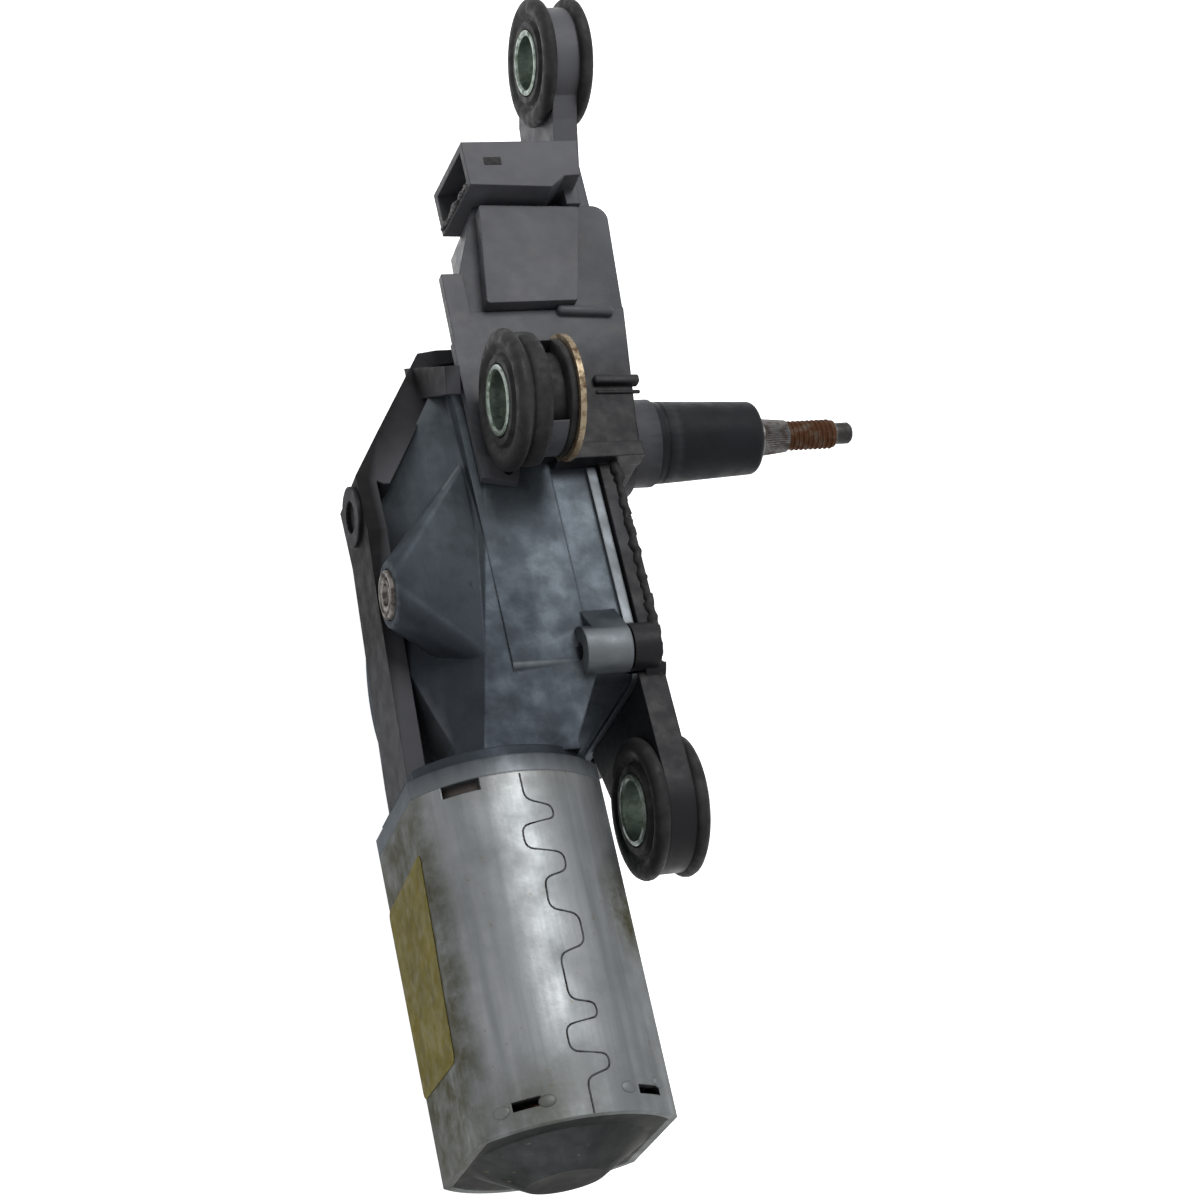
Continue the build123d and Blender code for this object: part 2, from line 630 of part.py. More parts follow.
def electronics_box():
    """Hollow box above the gearbox for the control board, open toward the far side."""
    sides = slab_z([(-17.4, 15.0), (-15.4, 24.4), (-7.8, BOX_Y1), (19.2, BOX_Y1), (17.2, BOX_Y0),
                    (17.2, 15.0)], -20, 20)
    shoulder = sides.edges().filter_by(Axis.Z).sort_by_distance((19.2, BOX_Y1, 0))[0]
    sides = fillet(shoulder, 3.0)
    outer = box_section(1.6, BOX_Y0, BOX_Y1) & sides
    inner = slab_z([(-14.4, BOX_Y0 + 1.8), (-13.6, 24.9), (-6.4, 42.8), (16.0, 42.8),
                    (15.4, BOX_Y0 + 1.8)], -20, 20)
    inner = box_section(0, BOX_Y0 + 1.8, 42.8) & inner
    mouth = block(-2.0, 15.4, BOX_Y0 + 1.8, 42.8, -16, -12)
    panel = slab_z([(-10.3, 21.4), (7.5, 21.4), (12.3, 42.2), (-7.6, 43.0)], 14.0, 18.0, 0.6)
    return outer + panel - inner - mouth


def hood():
    """Wall along the near side of the gearbox, with the lip along its lower edge."""
    body = slab_z([(-17.6, -13.8), (-11.2, -15.2), (-9.6, -9.6), (13.4, -9.6), (16.6, 16), (17.2, 21),
                   (-13.0, 21), (-17.6, 15)], HOOD_Z, HOOD_Z + 1.9)
    body -= Pos(-12.6, -12.6, HOOD_Z) * Cylinder(0.9, 6)
    body += slab_z([(-17.6, -4), (-13.2, -4), (-12.8, 29.6), (-17.0, 29.6)], HOOD_Z, HOOD_Z + 1.9)
    body += slab_z([(-15.8, -9.8), (-3.3, -10.4), (-3.3, -11.9), (13.4, -11.9), (13.4, -9.0),
                    (-15.8, -8.0)], HOOD_Z, HOOD_Z + 3.9)
    # the wall is carried over to the tower and the box
    return body + block(6.6, 13.4, -11.6, 20, 12.0, 14.0)


def connector_shell():
    """Rectangular socket, its mouth toward the rear, on a column above the box."""
    shell = slab_z([(-13, 45.2), (6.2, 44.2), (9.2, 46.6), (12.4, 46.8), (13.4, 54.6), (-13, 54.6)],
                   4.6, 22.0)
    # the mouth is cut at a slant: its far edge stands further out than its near one
    shell -= slab_y([(-14, 0), (-11.4, 0), (-9.8, 22), (-9.8, 24), (-14, 24)], 40, 60)
    shell -= slab_z([(-14, 46.6), (1.6, 46.6), (1.6, 53.2), (-14, 53.2)], 6.2, 20.6)
    column = block(9.0, 16.8, BOX_Y1 - 1, 54.0, -11.0, 12.0)
    return shell + column + block(10.4, 13.2, BOX_Y1 - 1, 53.8, 6.0, 17.0)


def top_ear():
    x0, y, z = TOP_FIX
    x0 += FLANGE_T
    neck = slab_x([(BOX_Y1 - 1.2, -12.0), (64, -11.6), (79, -7.6), (84.5, -3), (90, 4), (84, 19),
                   (76, 17), (68, 10.5), (60, 6.0), (BOX_Y1 - 1.2, 6.0)], x0, x0 + EAR_T)
    ear = cyl_x(10.8, x0, x0 + EAR_T, y, z) + neck
    ear -= cyl_x(GROOVE_R, x0 - 1, x0 + EAR_T + 1, y, z)
    return ear


def mid_clearance():
    """Room left in the hood for the rubber and the washer of the middle fixing."""
    x0, y, z = MID_FIX
    return cyl_x(GROMMET_R + 0.3, x0 - 2, x0 + 14, y, z)


def mid_ear():
    """Fork standing on the hood, open toward the near side."""
    x, y, z = MID_FIX
    x0, x1 = x + 6.6, x + 10.0
    fork = cyl_x(10.4, x0, x1, y, z)
    fork += block(x0, x1, y - 6.4, y + 10.4, HOOD_Z + 1.1, z)
    fork -= block(x0 - 1, x1 + 1, y - GROOVE_R, y + GROOVE_R, z, z + 20)
    fork -= cyl_x(GROOVE_R, x0 - 1, x1 + 1, y, z)
    return fork


def low_ear():
    x0, y, z = LOW_FIX
    x0 += FLANGE_T
    arm = hull_x([(y, z, 11.9), (-50, 4, 9.0), (-48, -14, 7)], x0, x0 + EAR_T)
    arm -= hull_x(grown(CHAMBER, 1.3), x0 - 1, SEAL_X)
    arm -= cyl_x(GROOVE_R, x0 - 1, x0 + EAR_T + 1, y, z)
    return arm


def cover_ribs():
    """Stiffening ribs that run from the tower across the plate."""
    ribs = []
    for angle in (-172, -150, -128, -106, -84):
        reach = 40 if angle < -110 else 25
        y, z = polar(reach, radians(angle))
        rib = hull_x([(0, 0, 0.9), (y, z, 0.9)], PLATE_X - 0.5, PLATE_X + 2.0)
        ribs.append(rib)
    body = ribs[0]
    for rib in ribs[1:]:
        body += rib
    return body


def box_lid():
    """Lid that closes the electronics box from the far side, with a locating lip."""
    lid = slab_z([(-4.8, BOX_Y0 + 0.4), (16.8, BOX_Y0 + 0.4), (18.6, BOX_Y1 - 0.4),
                  (-4.8, BOX_Y1 - 0.4)], -15.6, -14.0, 2.6)
    lip = block(-1.9, 15.3, BOX_Y0 + 1.9, 42.7, -14.1, -12.9)
    return lid + lip - block(-0.7, 14.1, BOX_Y0 + 3.1, 41.5, -13.9, -12)


def control_board():
    return block(10.0, 11.6, BOX_Y0 + 2.4, 42.6, -11.8, 12.6)


def connector_pins():
    """Flat blades in the socket, each with a leg that leans in to meet the board."""
    pins = []
    for z in (9.4, 13.7, 18.0):
        blade = block(-6.0, 12.4, 49.5, 50.3, z - 1.2, z + 1.2)
        leg = slab_x([(50.3, z - 1.2), (50.3, z + 1.2), (41.0, z - 6.2), (39.0, z - 6.2),
                      (39.0, z - 8.6), (41.0, z - 8.6)], 11.6, 12.4)
        pins.append(blade + leg)
    return pins


def cover_seal():
    """Flat rubber ring between housing and cover, just outside the cavity."""
    return hull_x(grown(CAVITY, 1.4), RIM_X, SEAL_X) - hull_x(grown(CAVITY, 0.3), RIM_X - 1, SEAL_X + 1)


def cover_screws():
    screws = []
    for y, z, seat in LUGS:
        head = seat + SCREW_SEAT
        screw = cyl_x(1.55, -3.0, head, y, z) + cyl_x(3.2, head, head + 1.6, y, z)
        screws.append(screw)
    return screws


# ---- rear lead cover ---------------------------------------------------------------
LEAD_PATH = [(-35.5, -72.0), (-35.5, -7.6), (-18.4, 19.0), (-8.4, 20.6), (-2.0, 25.0), (10.0, 25.0)]
COVER_PATH = [(-35.5, -66.0), *LEAD_PATH[1:3], (-9.6, 20.4)]


def band(points, low, high):
    """Outline in X and Y that runs beside a bent line, from low to high off it."""
    rights = [offset_point(points, i, low) for i in range(len(points))]
    lefts = [offset_point(points, i, high) for i in range(len(points))]
    return rights + lefts[::-1]


def offset_point(points, i, d):
    """Mitred corner of a bent line moved sideways by d."""
    x, y = points[i]
    before = points[max(i, 1) - 1]
    after = points[min(i + 1, len(points) - 1)]
    ahead = atan2(after[1] - y, after[0] - x) if i < len(points) - 1 else None
    behind = atan2(y - before[1], x - before[0]) if i else ahead
    ahead = behind if ahead is None else ahead
    mid = (ahead + behind) / 2 + pi / 2
    reach = d / cos((ahead - behind) / 2)
    return (x + reach * cos(mid), y + reach * sin(mid))


def lead_envelope():
    """Outer shape of the channel: a slanting strip, then a ramp up to the box."""
    shape = slab_x([(-67, -15.0), (-60, -14.4), (-19, -7.4), (-2, -8.6), (24, -9.6), (22.0, 0.9),
                    (15, 2.0), (2, 5.8), (-18.4, 6.8), (-31, 4.3), (-67, 0.2)], -45, 0)
    ramp = slab_z(band(COVER_PATH[1:3], -3.6, 2.6), -30, 30) & block(-45, SHELF_OUT, -9, 20, -30, 30)
    return (slab_z(band(COVER_PATH, -1.0, 2.6), -30, 30) + ramp) & shape


def lead_bar():
    """Arm that reaches from the top of the ramp toward the hood."""
    return slab_x([(20.6, -3), (7, 20), (2.5, 17.5), (13.5, -3)], -21.8, SHELF_OUT)


def lead_cover():
    """Channel that hides the leads on their way from the brushes up to the board."""
    hollow = slab_x([(-68, -13.4), (-60, -12.9), (-19, -6.0), (-2, -7.2), (26, -8.2), (26, -0.2),
                     (12, 1.2), (2, 4.2), (-18.4, 5.2), (-31, 2.9), (-68, -1.2)], -45, 0)
    inside = [(-35.5, -67.0), *COVER_PATH[1:3], (-8, 20.8)]
    body = lead_envelope() + lead_bar() + ring_x(3.0, 5.6, -38.9, -37.6, -12.3, 0.3)
    return body - (slab_z(band(inside, -1.4, 1.2), -30, 30) & hollow)


def lead_strips():
    """Three flat copper leads laid side by side under the cover."""
    strips = []
    for shift in (-2.6, 0.0, 2.6):
        near = [(-73, -6.9), (-60, -6.2), (-19, 0.5), (-2, -0.7), (16, -3.0), (30, -3.2)]
        edge = [(y, z + shift) for y, z in near]
        far = [(y, z - 1.8) for y, z in edge[::-1]]
        strips.append(slab_z(band(LEAD_PATH, -0.4, 0.4), -30, 30) & slab_x(edge + far, -45, 20))
    return strips


# ---- fixing points -----------------------------------------------------------------
def grommet(fix):
    x0, y, z = fix
    x1 = x0 + 2 * FLANGE_T + EAR_T
    body = cyl_x(GROMMET_R, x0, x0 + FLANGE_T, y, z)
    body = fillet(body.faces().sort_by(Axis.X)[0].edges(), 0.9)
    far = cyl_x(GROMMET_R, x1 - FLANGE_T, x1, y, z)
    far = fillet(far.faces().sort_by(Axis.X)[-1].edges(), 0.9)
    body += far + cyl_x(GROOVE_R - 0.05, x0 + 1, x1 - 1, y, z)
    return body - cyl_x(BUSH_R + 0.02, x0 - 1, x1 + 1, y, z)


def mid_grommet():
    """Deeper grommet: a soft near disc, a thick body behind it, a thin lip past the fork."""
    x0, y, z = MID_FIX
    body = cyl_x(GROMMET_R, x0, x0 + FLANGE_T, y, z)
    body = fillet(body.faces().sort_by(Axis.X)[0].edges(), 0.9)
    body += cyl_x(12.0, x0 + 1, x0 + 6.6, y, z)
    body += cyl_x(GROOVE_R - 0.05, x0 + 6, x0 + 11, y, z)
    body += cyl_x(10.6, x0 + 10.0, x0 + 11.6, y, z)
    return body - cyl_x(BUSH_R + 0.02, x0 - 1, 0, y, z)


def fixing_bush(fix, x1):
    x0, y, z = fix
    return ring_x(BUSH_BORE, BUSH_R, x0 - 0.3, x1, y, z)


def mid_washer():
    x, y, z = MID_FIX
    return ring_x(BUSH_R + 0.1, 11.4, x + 11.6, x + 12.7, y, z)


# ---- build every piece and write it ------------------------------------------------
def far_end(fix):
    return fix[0] + 2 * FLANGE_T + EAR_T + 0.3


PIECES = {
    "motor_can": motor_can,
    "end_plate": end_plate,
    "end_bush": end_bush,
    "bush_clip": bush_clip,
    "magnet_near": lambda: magnet(1),
    "magnet_far": lambda: magnet(-1),
    "magnet_clips": magnet_clips,
    "armature_shaft": armature_shaft,
    "lamination_core": lamination_core,
    "armature_windings": armature_windings,
    "commutator_hub": commutator_hub,
    "commutator_bars": commutator_bars,
    "brush_card": brush_card,
    "brush_boxes": brush_boxes,
    "brush_near": lambda: carbon_brush(1),
    "brush_far": lambda: carbon_brush(-1),
    "brush_springs": brush_springs,
    "chokes": chokes,
    "gear_housing": gear_housing,
    "rear_screw": rear_screw,
    "mid_bush": mid_bush,
    "worm_end_bush": worm_end_bush,
    "thrust_pad": thrust_pad,
    "worm_wheel": worm_wheel,
    "wheel_pin": wheel_pin,
    "wheel_clip": wheel_clip,
    "crank_pin": crank_pin,
    "contact_ring": contact_ring,
    "output_pinion": output_pinion,
    "sector_gear": sector_gear,
    "sector_pin": sector_pin,
    "swing_link": swing_link,
    "link_spacer": link_spacer,
    "link_washer": link_washer,
    "output_spindle": output_spindle,
    "bearing_tube": bearing_tube,
    "spindle_bush_low": lambda: spindle_bush(-3.8, 6.2),
    "spindle_bush_top": lambda: spindle_bush(33.5, TUBE_TOP),
    "spindle_washer": spindle_washer,
    "spindle_clip": spindle_clip,
    "spindle_sleeve": spindle_sleeve,
    "front_cover": front_cover,
    "box_lid": box_lid,
    "control_board": control_board,
    "connector_pins": connector_pins,
    "cover_seal": cover_seal,
    "cover_screws": cover_screws,
    "lead_cover": lead_cover,
    "lead_strips": lead_strips,
    "top_grommet": lambda: grommet(TOP_FIX),
    "mid_grommet": mid_grommet,
    "low_grommet": lambda: grommet(LOW_FIX),
    "top_bush": lambda: fixing_bush(TOP_FIX, far_end(TOP_FIX)),
    "mid_bush_sleeve": lambda: fixing_bush(MID_FIX, MID_FIX[0] + 13.4),
    "low_bush": lambda: fixing_bush(LOW_FIX, far_end(LOW_FIX)),
    "mid_washer": mid_washer,
}

os.makedirs("parts", exist_ok=True)
for name, make in PIECES.items():
    shape = make()
    if isinstance(shape, list) and not hasattr(shape, "wrapped"):
        shape = Compound(children=list(shape))
    export_step(shape, f"parts/{name}.step")
    print(name, len(shape.solids()), round(shape.volume, 1))
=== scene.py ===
# %% [markdown]
# # A rear wiper motor
# The construction comes in as a fixed frame, with every piece already in its place. This file
# gives each piece its finish, and adds the fine work that a modeller would cut into a mesh by
# hand: threads, knurls, rolled seams, rubber profiles, screw drives and a bleached label.

from math import atan2, cos, radians, sin, tau

import bmesh
import bpy
from mathutils import Matrix, Vector, noise


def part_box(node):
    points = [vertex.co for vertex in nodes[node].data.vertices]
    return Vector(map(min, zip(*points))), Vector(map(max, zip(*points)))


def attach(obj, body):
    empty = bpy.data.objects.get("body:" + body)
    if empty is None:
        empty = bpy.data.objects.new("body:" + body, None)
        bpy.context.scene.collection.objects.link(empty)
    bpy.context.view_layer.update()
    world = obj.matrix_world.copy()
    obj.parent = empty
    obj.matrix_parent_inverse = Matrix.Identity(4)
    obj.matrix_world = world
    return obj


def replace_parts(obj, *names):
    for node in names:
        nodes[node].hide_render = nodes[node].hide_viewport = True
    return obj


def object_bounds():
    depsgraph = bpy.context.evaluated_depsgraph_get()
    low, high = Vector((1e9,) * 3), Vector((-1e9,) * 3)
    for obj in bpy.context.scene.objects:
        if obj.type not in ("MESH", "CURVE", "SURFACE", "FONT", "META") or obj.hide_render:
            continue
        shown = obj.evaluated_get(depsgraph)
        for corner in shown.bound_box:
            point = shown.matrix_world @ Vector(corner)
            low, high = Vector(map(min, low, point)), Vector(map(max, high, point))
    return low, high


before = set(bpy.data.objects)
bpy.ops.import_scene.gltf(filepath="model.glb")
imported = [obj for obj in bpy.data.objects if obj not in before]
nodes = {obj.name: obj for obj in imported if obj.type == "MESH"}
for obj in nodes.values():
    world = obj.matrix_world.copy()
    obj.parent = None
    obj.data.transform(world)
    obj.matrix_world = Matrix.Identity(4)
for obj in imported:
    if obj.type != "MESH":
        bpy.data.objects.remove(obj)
cad_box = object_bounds()
MM = 0.001      # one millimetre in Blender's metres


# %% [markdown]
# ## Finishes
# A finish is a small network of nodes. Each one starts from the same three things: a texture
# coordinate in the object's own space, a shader, and an output. Helpers keep the networks
# short, so that each finish below reads as a recipe: a colour that wanders a little, a
# roughness that wanders too, and a bump for grain or dents. Sizes and depths are in
# millimetres, and colours are linear red, green and blue.

# %% Node helpers
BEVEL_SAMPLES = 4
LOWER_COLOUR, UPPER_COLOUR, MIXED_COLOUR = 6, 7, 2      # colour sockets of a mix node


class Finish:
    """A material under construction, with shortcuts for the nodes that every finish uses.

    edge is the radius in millimetres by which sharp edges look rounded.
    """

    def __init__(self, name, metallic=0.0, roughness=0.5, edge=0.0, specular=0.5):
        self.material = bpy.data.materials.new(name)
        self.material.use_nodes = True
        self.tree = self.material.node_tree
        self.tree.nodes.clear()
        self.shader = self.add("ShaderNodeBsdfPrincipled")
        self.shader.inputs["Metallic"].default_value = metallic
        self.shader.inputs["Roughness"].default_value = roughness
        self.shader.inputs["Specular IOR Level"].default_value = specular
        output = self.add("ShaderNodeOutputMaterial")
        self.link(self.shader.outputs["BSDF"], output.inputs["Surface"])
        self.place = self.add("ShaderNodeTexCoord").outputs["Object"]
        self.normal = None
        if edge:
            rounding = self.add("ShaderNodeBevel")
            rounding.samples = BEVEL_SAMPLES
            rounding.inputs["Radius"].default_value = edge * MM
            self.normal = rounding.outputs["Normal"]
            self.link(self.normal, self.shader.inputs["Normal"])

    def add(self, kind):
        return self.tree.nodes.new(kind)

    def link(self, source, target):
        self.tree.links.new(source, target)

    def stretched(self, scale=(1, 1, 1), turn=(0, 0, 0)):
        """Object coordinates, stretched or turned."""
        mapping = self.add("ShaderNodeMapping")
        mapping.inputs["Scale"].default_value = scale
        mapping.inputs["Rotation"].default_value = [radians(a) for a in turn]
        self.link(self.place, mapping.inputs["Vector"])
        return mapping.outputs["Vector"]

    def noise(self, size, detail=4.0, rough=0.55, stretch=None):
        """Noise whose blobs are about size millimetres across."""
        node = self.add("ShaderNodeTexNoise")
        node.inputs["Scale"].default_value = 1 / (size * MM)
        node.inputs["Detail"].default_value = detail
        node.inputs["Roughness"].default_value = rough
        self.link(self.stretched(*stretch) if stretch else self.place, node.inputs["Vector"])
        return node.outputs["Fac"]

    def ramp(self, source, low, high, start=0.35, end=0.65):
        """Colour that runs from low to high as the source goes from start to end."""
        node = self.add("ShaderNodeValToRGB")
        first, last = node.color_ramp.elements
        first.position, last.position = start, end
        first.color = (*low, 1)
        last.color = (*high, 1)
        self.link(source, node.inputs["Fac"])
        return node.outputs["Color"]

    def levels(self, source, low, high, start=0.35, end=0.65):
        """Number that runs from low to high as the source goes from start to end."""
        node = self.add("ShaderNodeMapRange")
        for socket, value in zip(("From Min", "From Max", "To Min", "To Max"),
                                 (start, end, low, high)):
            node.inputs[socket].default_value = value
        self.link(source, node.inputs["Value"])
        return node.outputs["Result"]

    def near(self, place, reach, soft=0.5, stretch=(1, 1, 1)):
        """One round a place given in millimetres, falling to nothing at reach millimetres.

        A stretch above one narrows the patch along that axis, and soft is the share of the
        reach over which it fades.
        """
        mapping = self.add("ShaderNodeMapping")
        mapping.inputs["Location"].default_value = [-p * s / reach for p, s in zip(place, stretch)]
        mapping.inputs["Scale"].default_value = [s / (reach * MM) for s in stretch]
        self.link(self.place, mapping.inputs["Vector"])
        length = self.add("ShaderNodeVectorMath")
        length.operation = "LENGTH"
        self.link(mapping.outputs["Vector"], length.inputs[0])
        return self.levels(length.outputs["Value"], 1.0, 0.0, 1 - soft, 1.0)

    def times(self, first, second):
        """Product of two numbers, each a socket or a plain value."""
        node = self.add("ShaderNodeMath")
        node.operation = "MULTIPLY"
        for socket, value in zip(node.inputs, (first, second)):
            if isinstance(value, float):
                socket.default_value = value
            else:
                self.link(value, socket)
        return node.outputs["Value"]

    def blend(self, factor, below, above):
        """Lays one colour over another."""
        node = self.add("ShaderNodeMix")
        node.data_type = "RGBA"
        if isinstance(factor, float):
            node.inputs["Factor"].default_value = factor
        else:
            self.link(factor, node.inputs["Factor"])
        for socket, colour in ((LOWER_COLOUR, below), (UPPER_COLOUR, above)):
            if isinstance(colour, tuple):
                node.inputs[socket].default_value = (*colour, 1)
            else:
                self.link(colour, node.inputs[socket])
        return node.outputs[MIXED_COLOUR]

    def colour(self, source):
        self.link(source, self.shader.inputs["Base Color"])

    def roughness(self, source):
        self.link(source, self.shader.inputs["Roughness"])

    def bump(self, source, depth, strength=1.0):
        """Raises the surface by depth millimetres where the source is high."""
        node = self.add("ShaderNodeBump")
        node.inputs["Strength"].default_value = strength
        node.inputs["Distance"].default_value = depth * MM
        self.link(source, node.inputs["Height"])
        if self.normal:
            self.link(self.normal, node.inputs["Normal"])
        self.normal = node.outputs["Normal"]
        self.link(self.normal, self.shader.inputs["Normal"])

    def reflection(self, tint):
        """Tints the shine, so that a white room doesn't wash out faces seen at a slant."""
        self.shader.inputs["Specular Tint"].default_value = (*tint, 1)

    def wear(self, sharpness=(0.52, 0.60)):
        """One on outer edges and corners, nothing on flat ground."""
        geometry = self.add("ShaderNodeNewGeometry")
        return self.levels(geometry.outputs["Pointiness"], 0.0, 1.0, *sharpness)


# %% [markdown]
# ## Zinc-plated steel
# The can is rolled from plated sheet. Plating is not one grey: it has long faint streaks from
# the rolling, cloudy patches where it has dulled, and brown specks where dirt has settled. The
# streaks are noise drawn out along the can's length. Oily dirt gathers in a few places, with
# ragged borders. The flat, which faces away from the lamp, also gets painted shade from the
# same dark patch, and the end plate is drawn far darker as painted shade.

# %% Galvanised sheet
ZINC_DARK, ZINC_LIGHT, ZINC_DULL = (0.15, 0.16, 0.165), (0.26, 0.27, 0.28), (0.12, 0.128, 0.13)
# the oily dirt colour also paints shade on the flat of the can
SPECK_BROWN, OILY_DIRT_AND_SHADE = (0.13, 0.11, 0.08), (0.050, 0.047, 0.028)


def galvanised(name, shade=1.0, dirt_and_shade=()):
    """Plated sheet; the last argument lists places (mm), reaches, strengths and stretches of oily
    dirt and of painted shade.
    """
    f = Finish(name, metallic=0.8, roughness=0.42, edge=0.35, specular=0.3)
    f.reflection((0.35, 0.35, 0.33))
    streaks = f.noise(3.0, 3, 0.6, stretch=((1, 0.05, 1),))
    clouds = f.noise(15.0, 5, 0.6)
    low, high, cloudy = [tuple(c * shade for c in grey)
                         for grey in (ZINC_DARK, ZINC_LIGHT, ZINC_DULL)]
    skin = f.blend(f.levels(clouds, 0.0, 0.7), f.ramp(streaks, low, high, 0.3, 0.7), cloudy)
    specks = f.levels(f.noise(1.7, 2, 0.5), 0.0, 0.8, 0.70, 0.76)
    skin = f.blend(specks, skin, SPECK_BROWN)
    ragged = f.levels(f.noise(6.0, 5, 0.7), 0.25, 1.0, 0.35, 0.6)
    # oily dirt, and painted shade where a patch darkens the flat that faces away from the lamp
    for place, reach, strength, stretch in dirt_and_shade:
        patch = f.times(f.near(place, reach, 0.6, stretch), ragged)
        skin = f.blend(f.times(patch, strength), skin, OILY_DIRT_AND_SHADE)
    f.colour(skin)
    f.roughness(f.levels(clouds, 0.34, 0.58))
    f.bump(f.noise(0.8, 3, 0.6), 0.02)
    f.bump(f.noise(9.0, 2, 0.5), 0.12, 0.5)
    return f.material


def dress(material, *names):
    """Gives a finish to pieces of the frame."""
    for name in names:
        for slot in nodes[name].material_slots:
            slot.material = material
    print(material.name, "on", len(names), "pieces")


can_dirt_and_shade = [
    ((-41.5, -102.0, -4.0), 34.0, 1.0, (6.0, 0.6, 1)),      # the flat is greasy all over and drawn darker still as painted shade, since it faces away from the lamp
    ((-7.4, -95.5, 10.4), 8.0, 1.0, (1, 0.7, 1)),           # stain right of the seam
    ((-4.6, -101.0, 3.0), 7.0, 0.7, (1, 0.6, 1)),           # the same stain running down
    ((-30.0, -131.0, 12.0), 12.0, 0.5, (1, 1, 1)),          # round the end's rim
    ((-2.0, -127.0, -2.0), 14.0, 0.5, (1, 1, 1)),
    ((-24.0, -72.0, 17.0), 9.0, 0.35, (0.6, 1.4, 1)),       # next to the flange
]
CONE_PAINTED_SHADE = 0.2        # painted shade: the end plate faces away from the lamps and is drawn far darker than the can
can_zinc = galvanised("zinc_plated_sheet", 1.0, can_dirt_and_shade)
dress(can_zinc, "motor_can")
dress(galvanised("zinc_plated_cone", CONE_PAINTED_SHADE), "end_plate")


# %% [markdown]
# ## Die-cast aluminium
# The gear housing is cast in a steel mould and left bare. A cast skin is blue-grey and dull,
# with smoother light patches where it has been handled and dark ones where oil has crept in.
# Painted shade darkens its foot beside the can and the gusset that faces away from the lamp.
# The grain is a fine bump, and edges come out lighter because they are rubbed.

# %% Cast aluminium
CAST_DARK, CAST_LIGHT = (0.048, 0.057, 0.067), (0.090, 0.106, 0.120)
CAST_HANDLED, CAST_RUBBED = (0.13, 0.15, 0.165), (0.20, 0.215, 0.225)
# the darkest colour is painted shade for the foot and the gusset
CAST_OILED, CAST_PAINTED_SHADE = (0.045, 0.05, 0.057), (0.016, 0.019, 0.024)
PAINTED_SHADE_POOLS = (((-20.0, -72.0, 11.0), 48.0), ((-36.0, -40.0, 6.0), 30.0))     # painted shade at the foot beside the can and on the gusset facing away from the lamp: place, reach


def cast_aluminium():
    f = Finish("die_cast_aluminium", metallic=0.7, roughness=0.5, edge=0.5, specular=0.25)
    f.reflection((0.35, 0.37, 0.40))
    clouds = f.noise(16.0, 5, 0.6)
    skin = f.ramp(clouds, CAST_DARK, CAST_LIGHT, 0.25, 0.75)
    drawn = f.noise(4.0, 4, 0.6, stretch=((1, 0.22, 1),))
    skin = f.blend(f.levels(drawn, 0.0, 0.35, 0.5, 0.75), skin, CAST_HANDLED)
    oil = f.levels(f.noise(8.0, 4, 0.6), 0.0, 0.7, 0.52, 0.70)
    skin = f.blend(oil, skin, CAST_OILED)
    # painted shade: the foot and the gusset, which face away from the lamp, are drawn darker
    for place, reach in PAINTED_SHADE_POOLS:
        shade_patch = f.times(f.near(place, reach, 0.8), f.levels(clouds, 0.75, 1.0))
        skin = f.blend(f.times(shade_patch, 0.92), skin, CAST_PAINTED_SHADE)
    f.colour(f.blend(f.levels(f.wear((0.53, 0.66)), 0.0, 0.6, 0, 1), skin, CAST_RUBBED))
    f.roughness(f.levels(f.noise(5.0, 4), 0.46, 0.66))
    f.bump(f.noise(0.55, 3, 0.6), 0.03)
    f.bump(drawn, 0.03, 0.5)
    return f.material


dress(cast_aluminium(), "gear_housing")


# %% [markdown]
# ## Black mouldings and rubber
# Several blacks sit side by side on this motor, and they must not look alike. The cover's
# glass-filled plastic is dark grey with a satin shine, dusty, pale on its scuffed edges, and
# drawn truly black as painted shade on the low ear and below the washer. The rear channel and
# the spindle's sleeve are deep black and clean. Rubber is a dull black with a pale bloom.

# %% Plastic and rubber
PLASTIC_DUST, PLASTIC_SCUFF = (0.115, 0.108, 0.098), (0.11, 0.11, 0.12)
# the near-black colour is painted shade for patches that lie in shadow
SHADE_BLACK, RUBBER_BLOOM = (0.004, 0.004, 0.005), (0.085, 0.082, 0.078)


def black_plastic(name, tone, shine, dust, specular=0.16, painted_shade=()):
    """Moulded black; the last argument lists the places, reaches and softness of its patches of
    painted shade.
    """
    f = Finish(name, roughness=shine, edge=0.4, specular=specular)
    clouds = f.noise(12.0, 4, 0.6)
    low = tuple(c * 0.75 for c in tone)
    high = tuple(c * 1.3 for c in tone)
    body = f.ramp(clouds, low, high)
    skin = f.blend(f.levels(f.noise(7.0, 5, 0.65), 0.0, dust, 0.45, 0.75), body, PLASTIC_DUST)
    skin = f.blend(f.levels(f.wear(), 0.0, 0.6, 0, 1), skin, PLASTIC_SCUFF)
    # painted shade: places in shadow are drawn near black
    for place, reach, soft in painted_shade:
        skin = f.blend(f.times(f.near(place, reach, soft), 0.92), skin, SHADE_BLACK)
    f.colour(skin)
    f.roughness(f.levels(f.noise(3.0, 4), shine - 0.07, shine + 0.10))
    f.bump(f.noise(0.35, 2, 0.5), 0.02)
    f.bump(f.noise(1.1, 2, 0.5, stretch=((0.12, 1, 1), (0, 0, 24))), 0.004)
    return f.material


def rubber(name, tone):
    f = Finish(name, roughness=0.62, specular=0.18)
    bloom = f.levels(f.noise(5.0, 5, 0.6), 0.0, 0.35, 0.45, 0.75)
    f.colour(f.blend(bloom, (tone, tone, tone * 1.06), RUBBER_BLOOM))
    f.roughness(f.levels(f.noise(2.0, 3), 0.5, 0.75))
    f.bump(f.noise(0.5, 3, 0.6), 0.03)
    return f.material


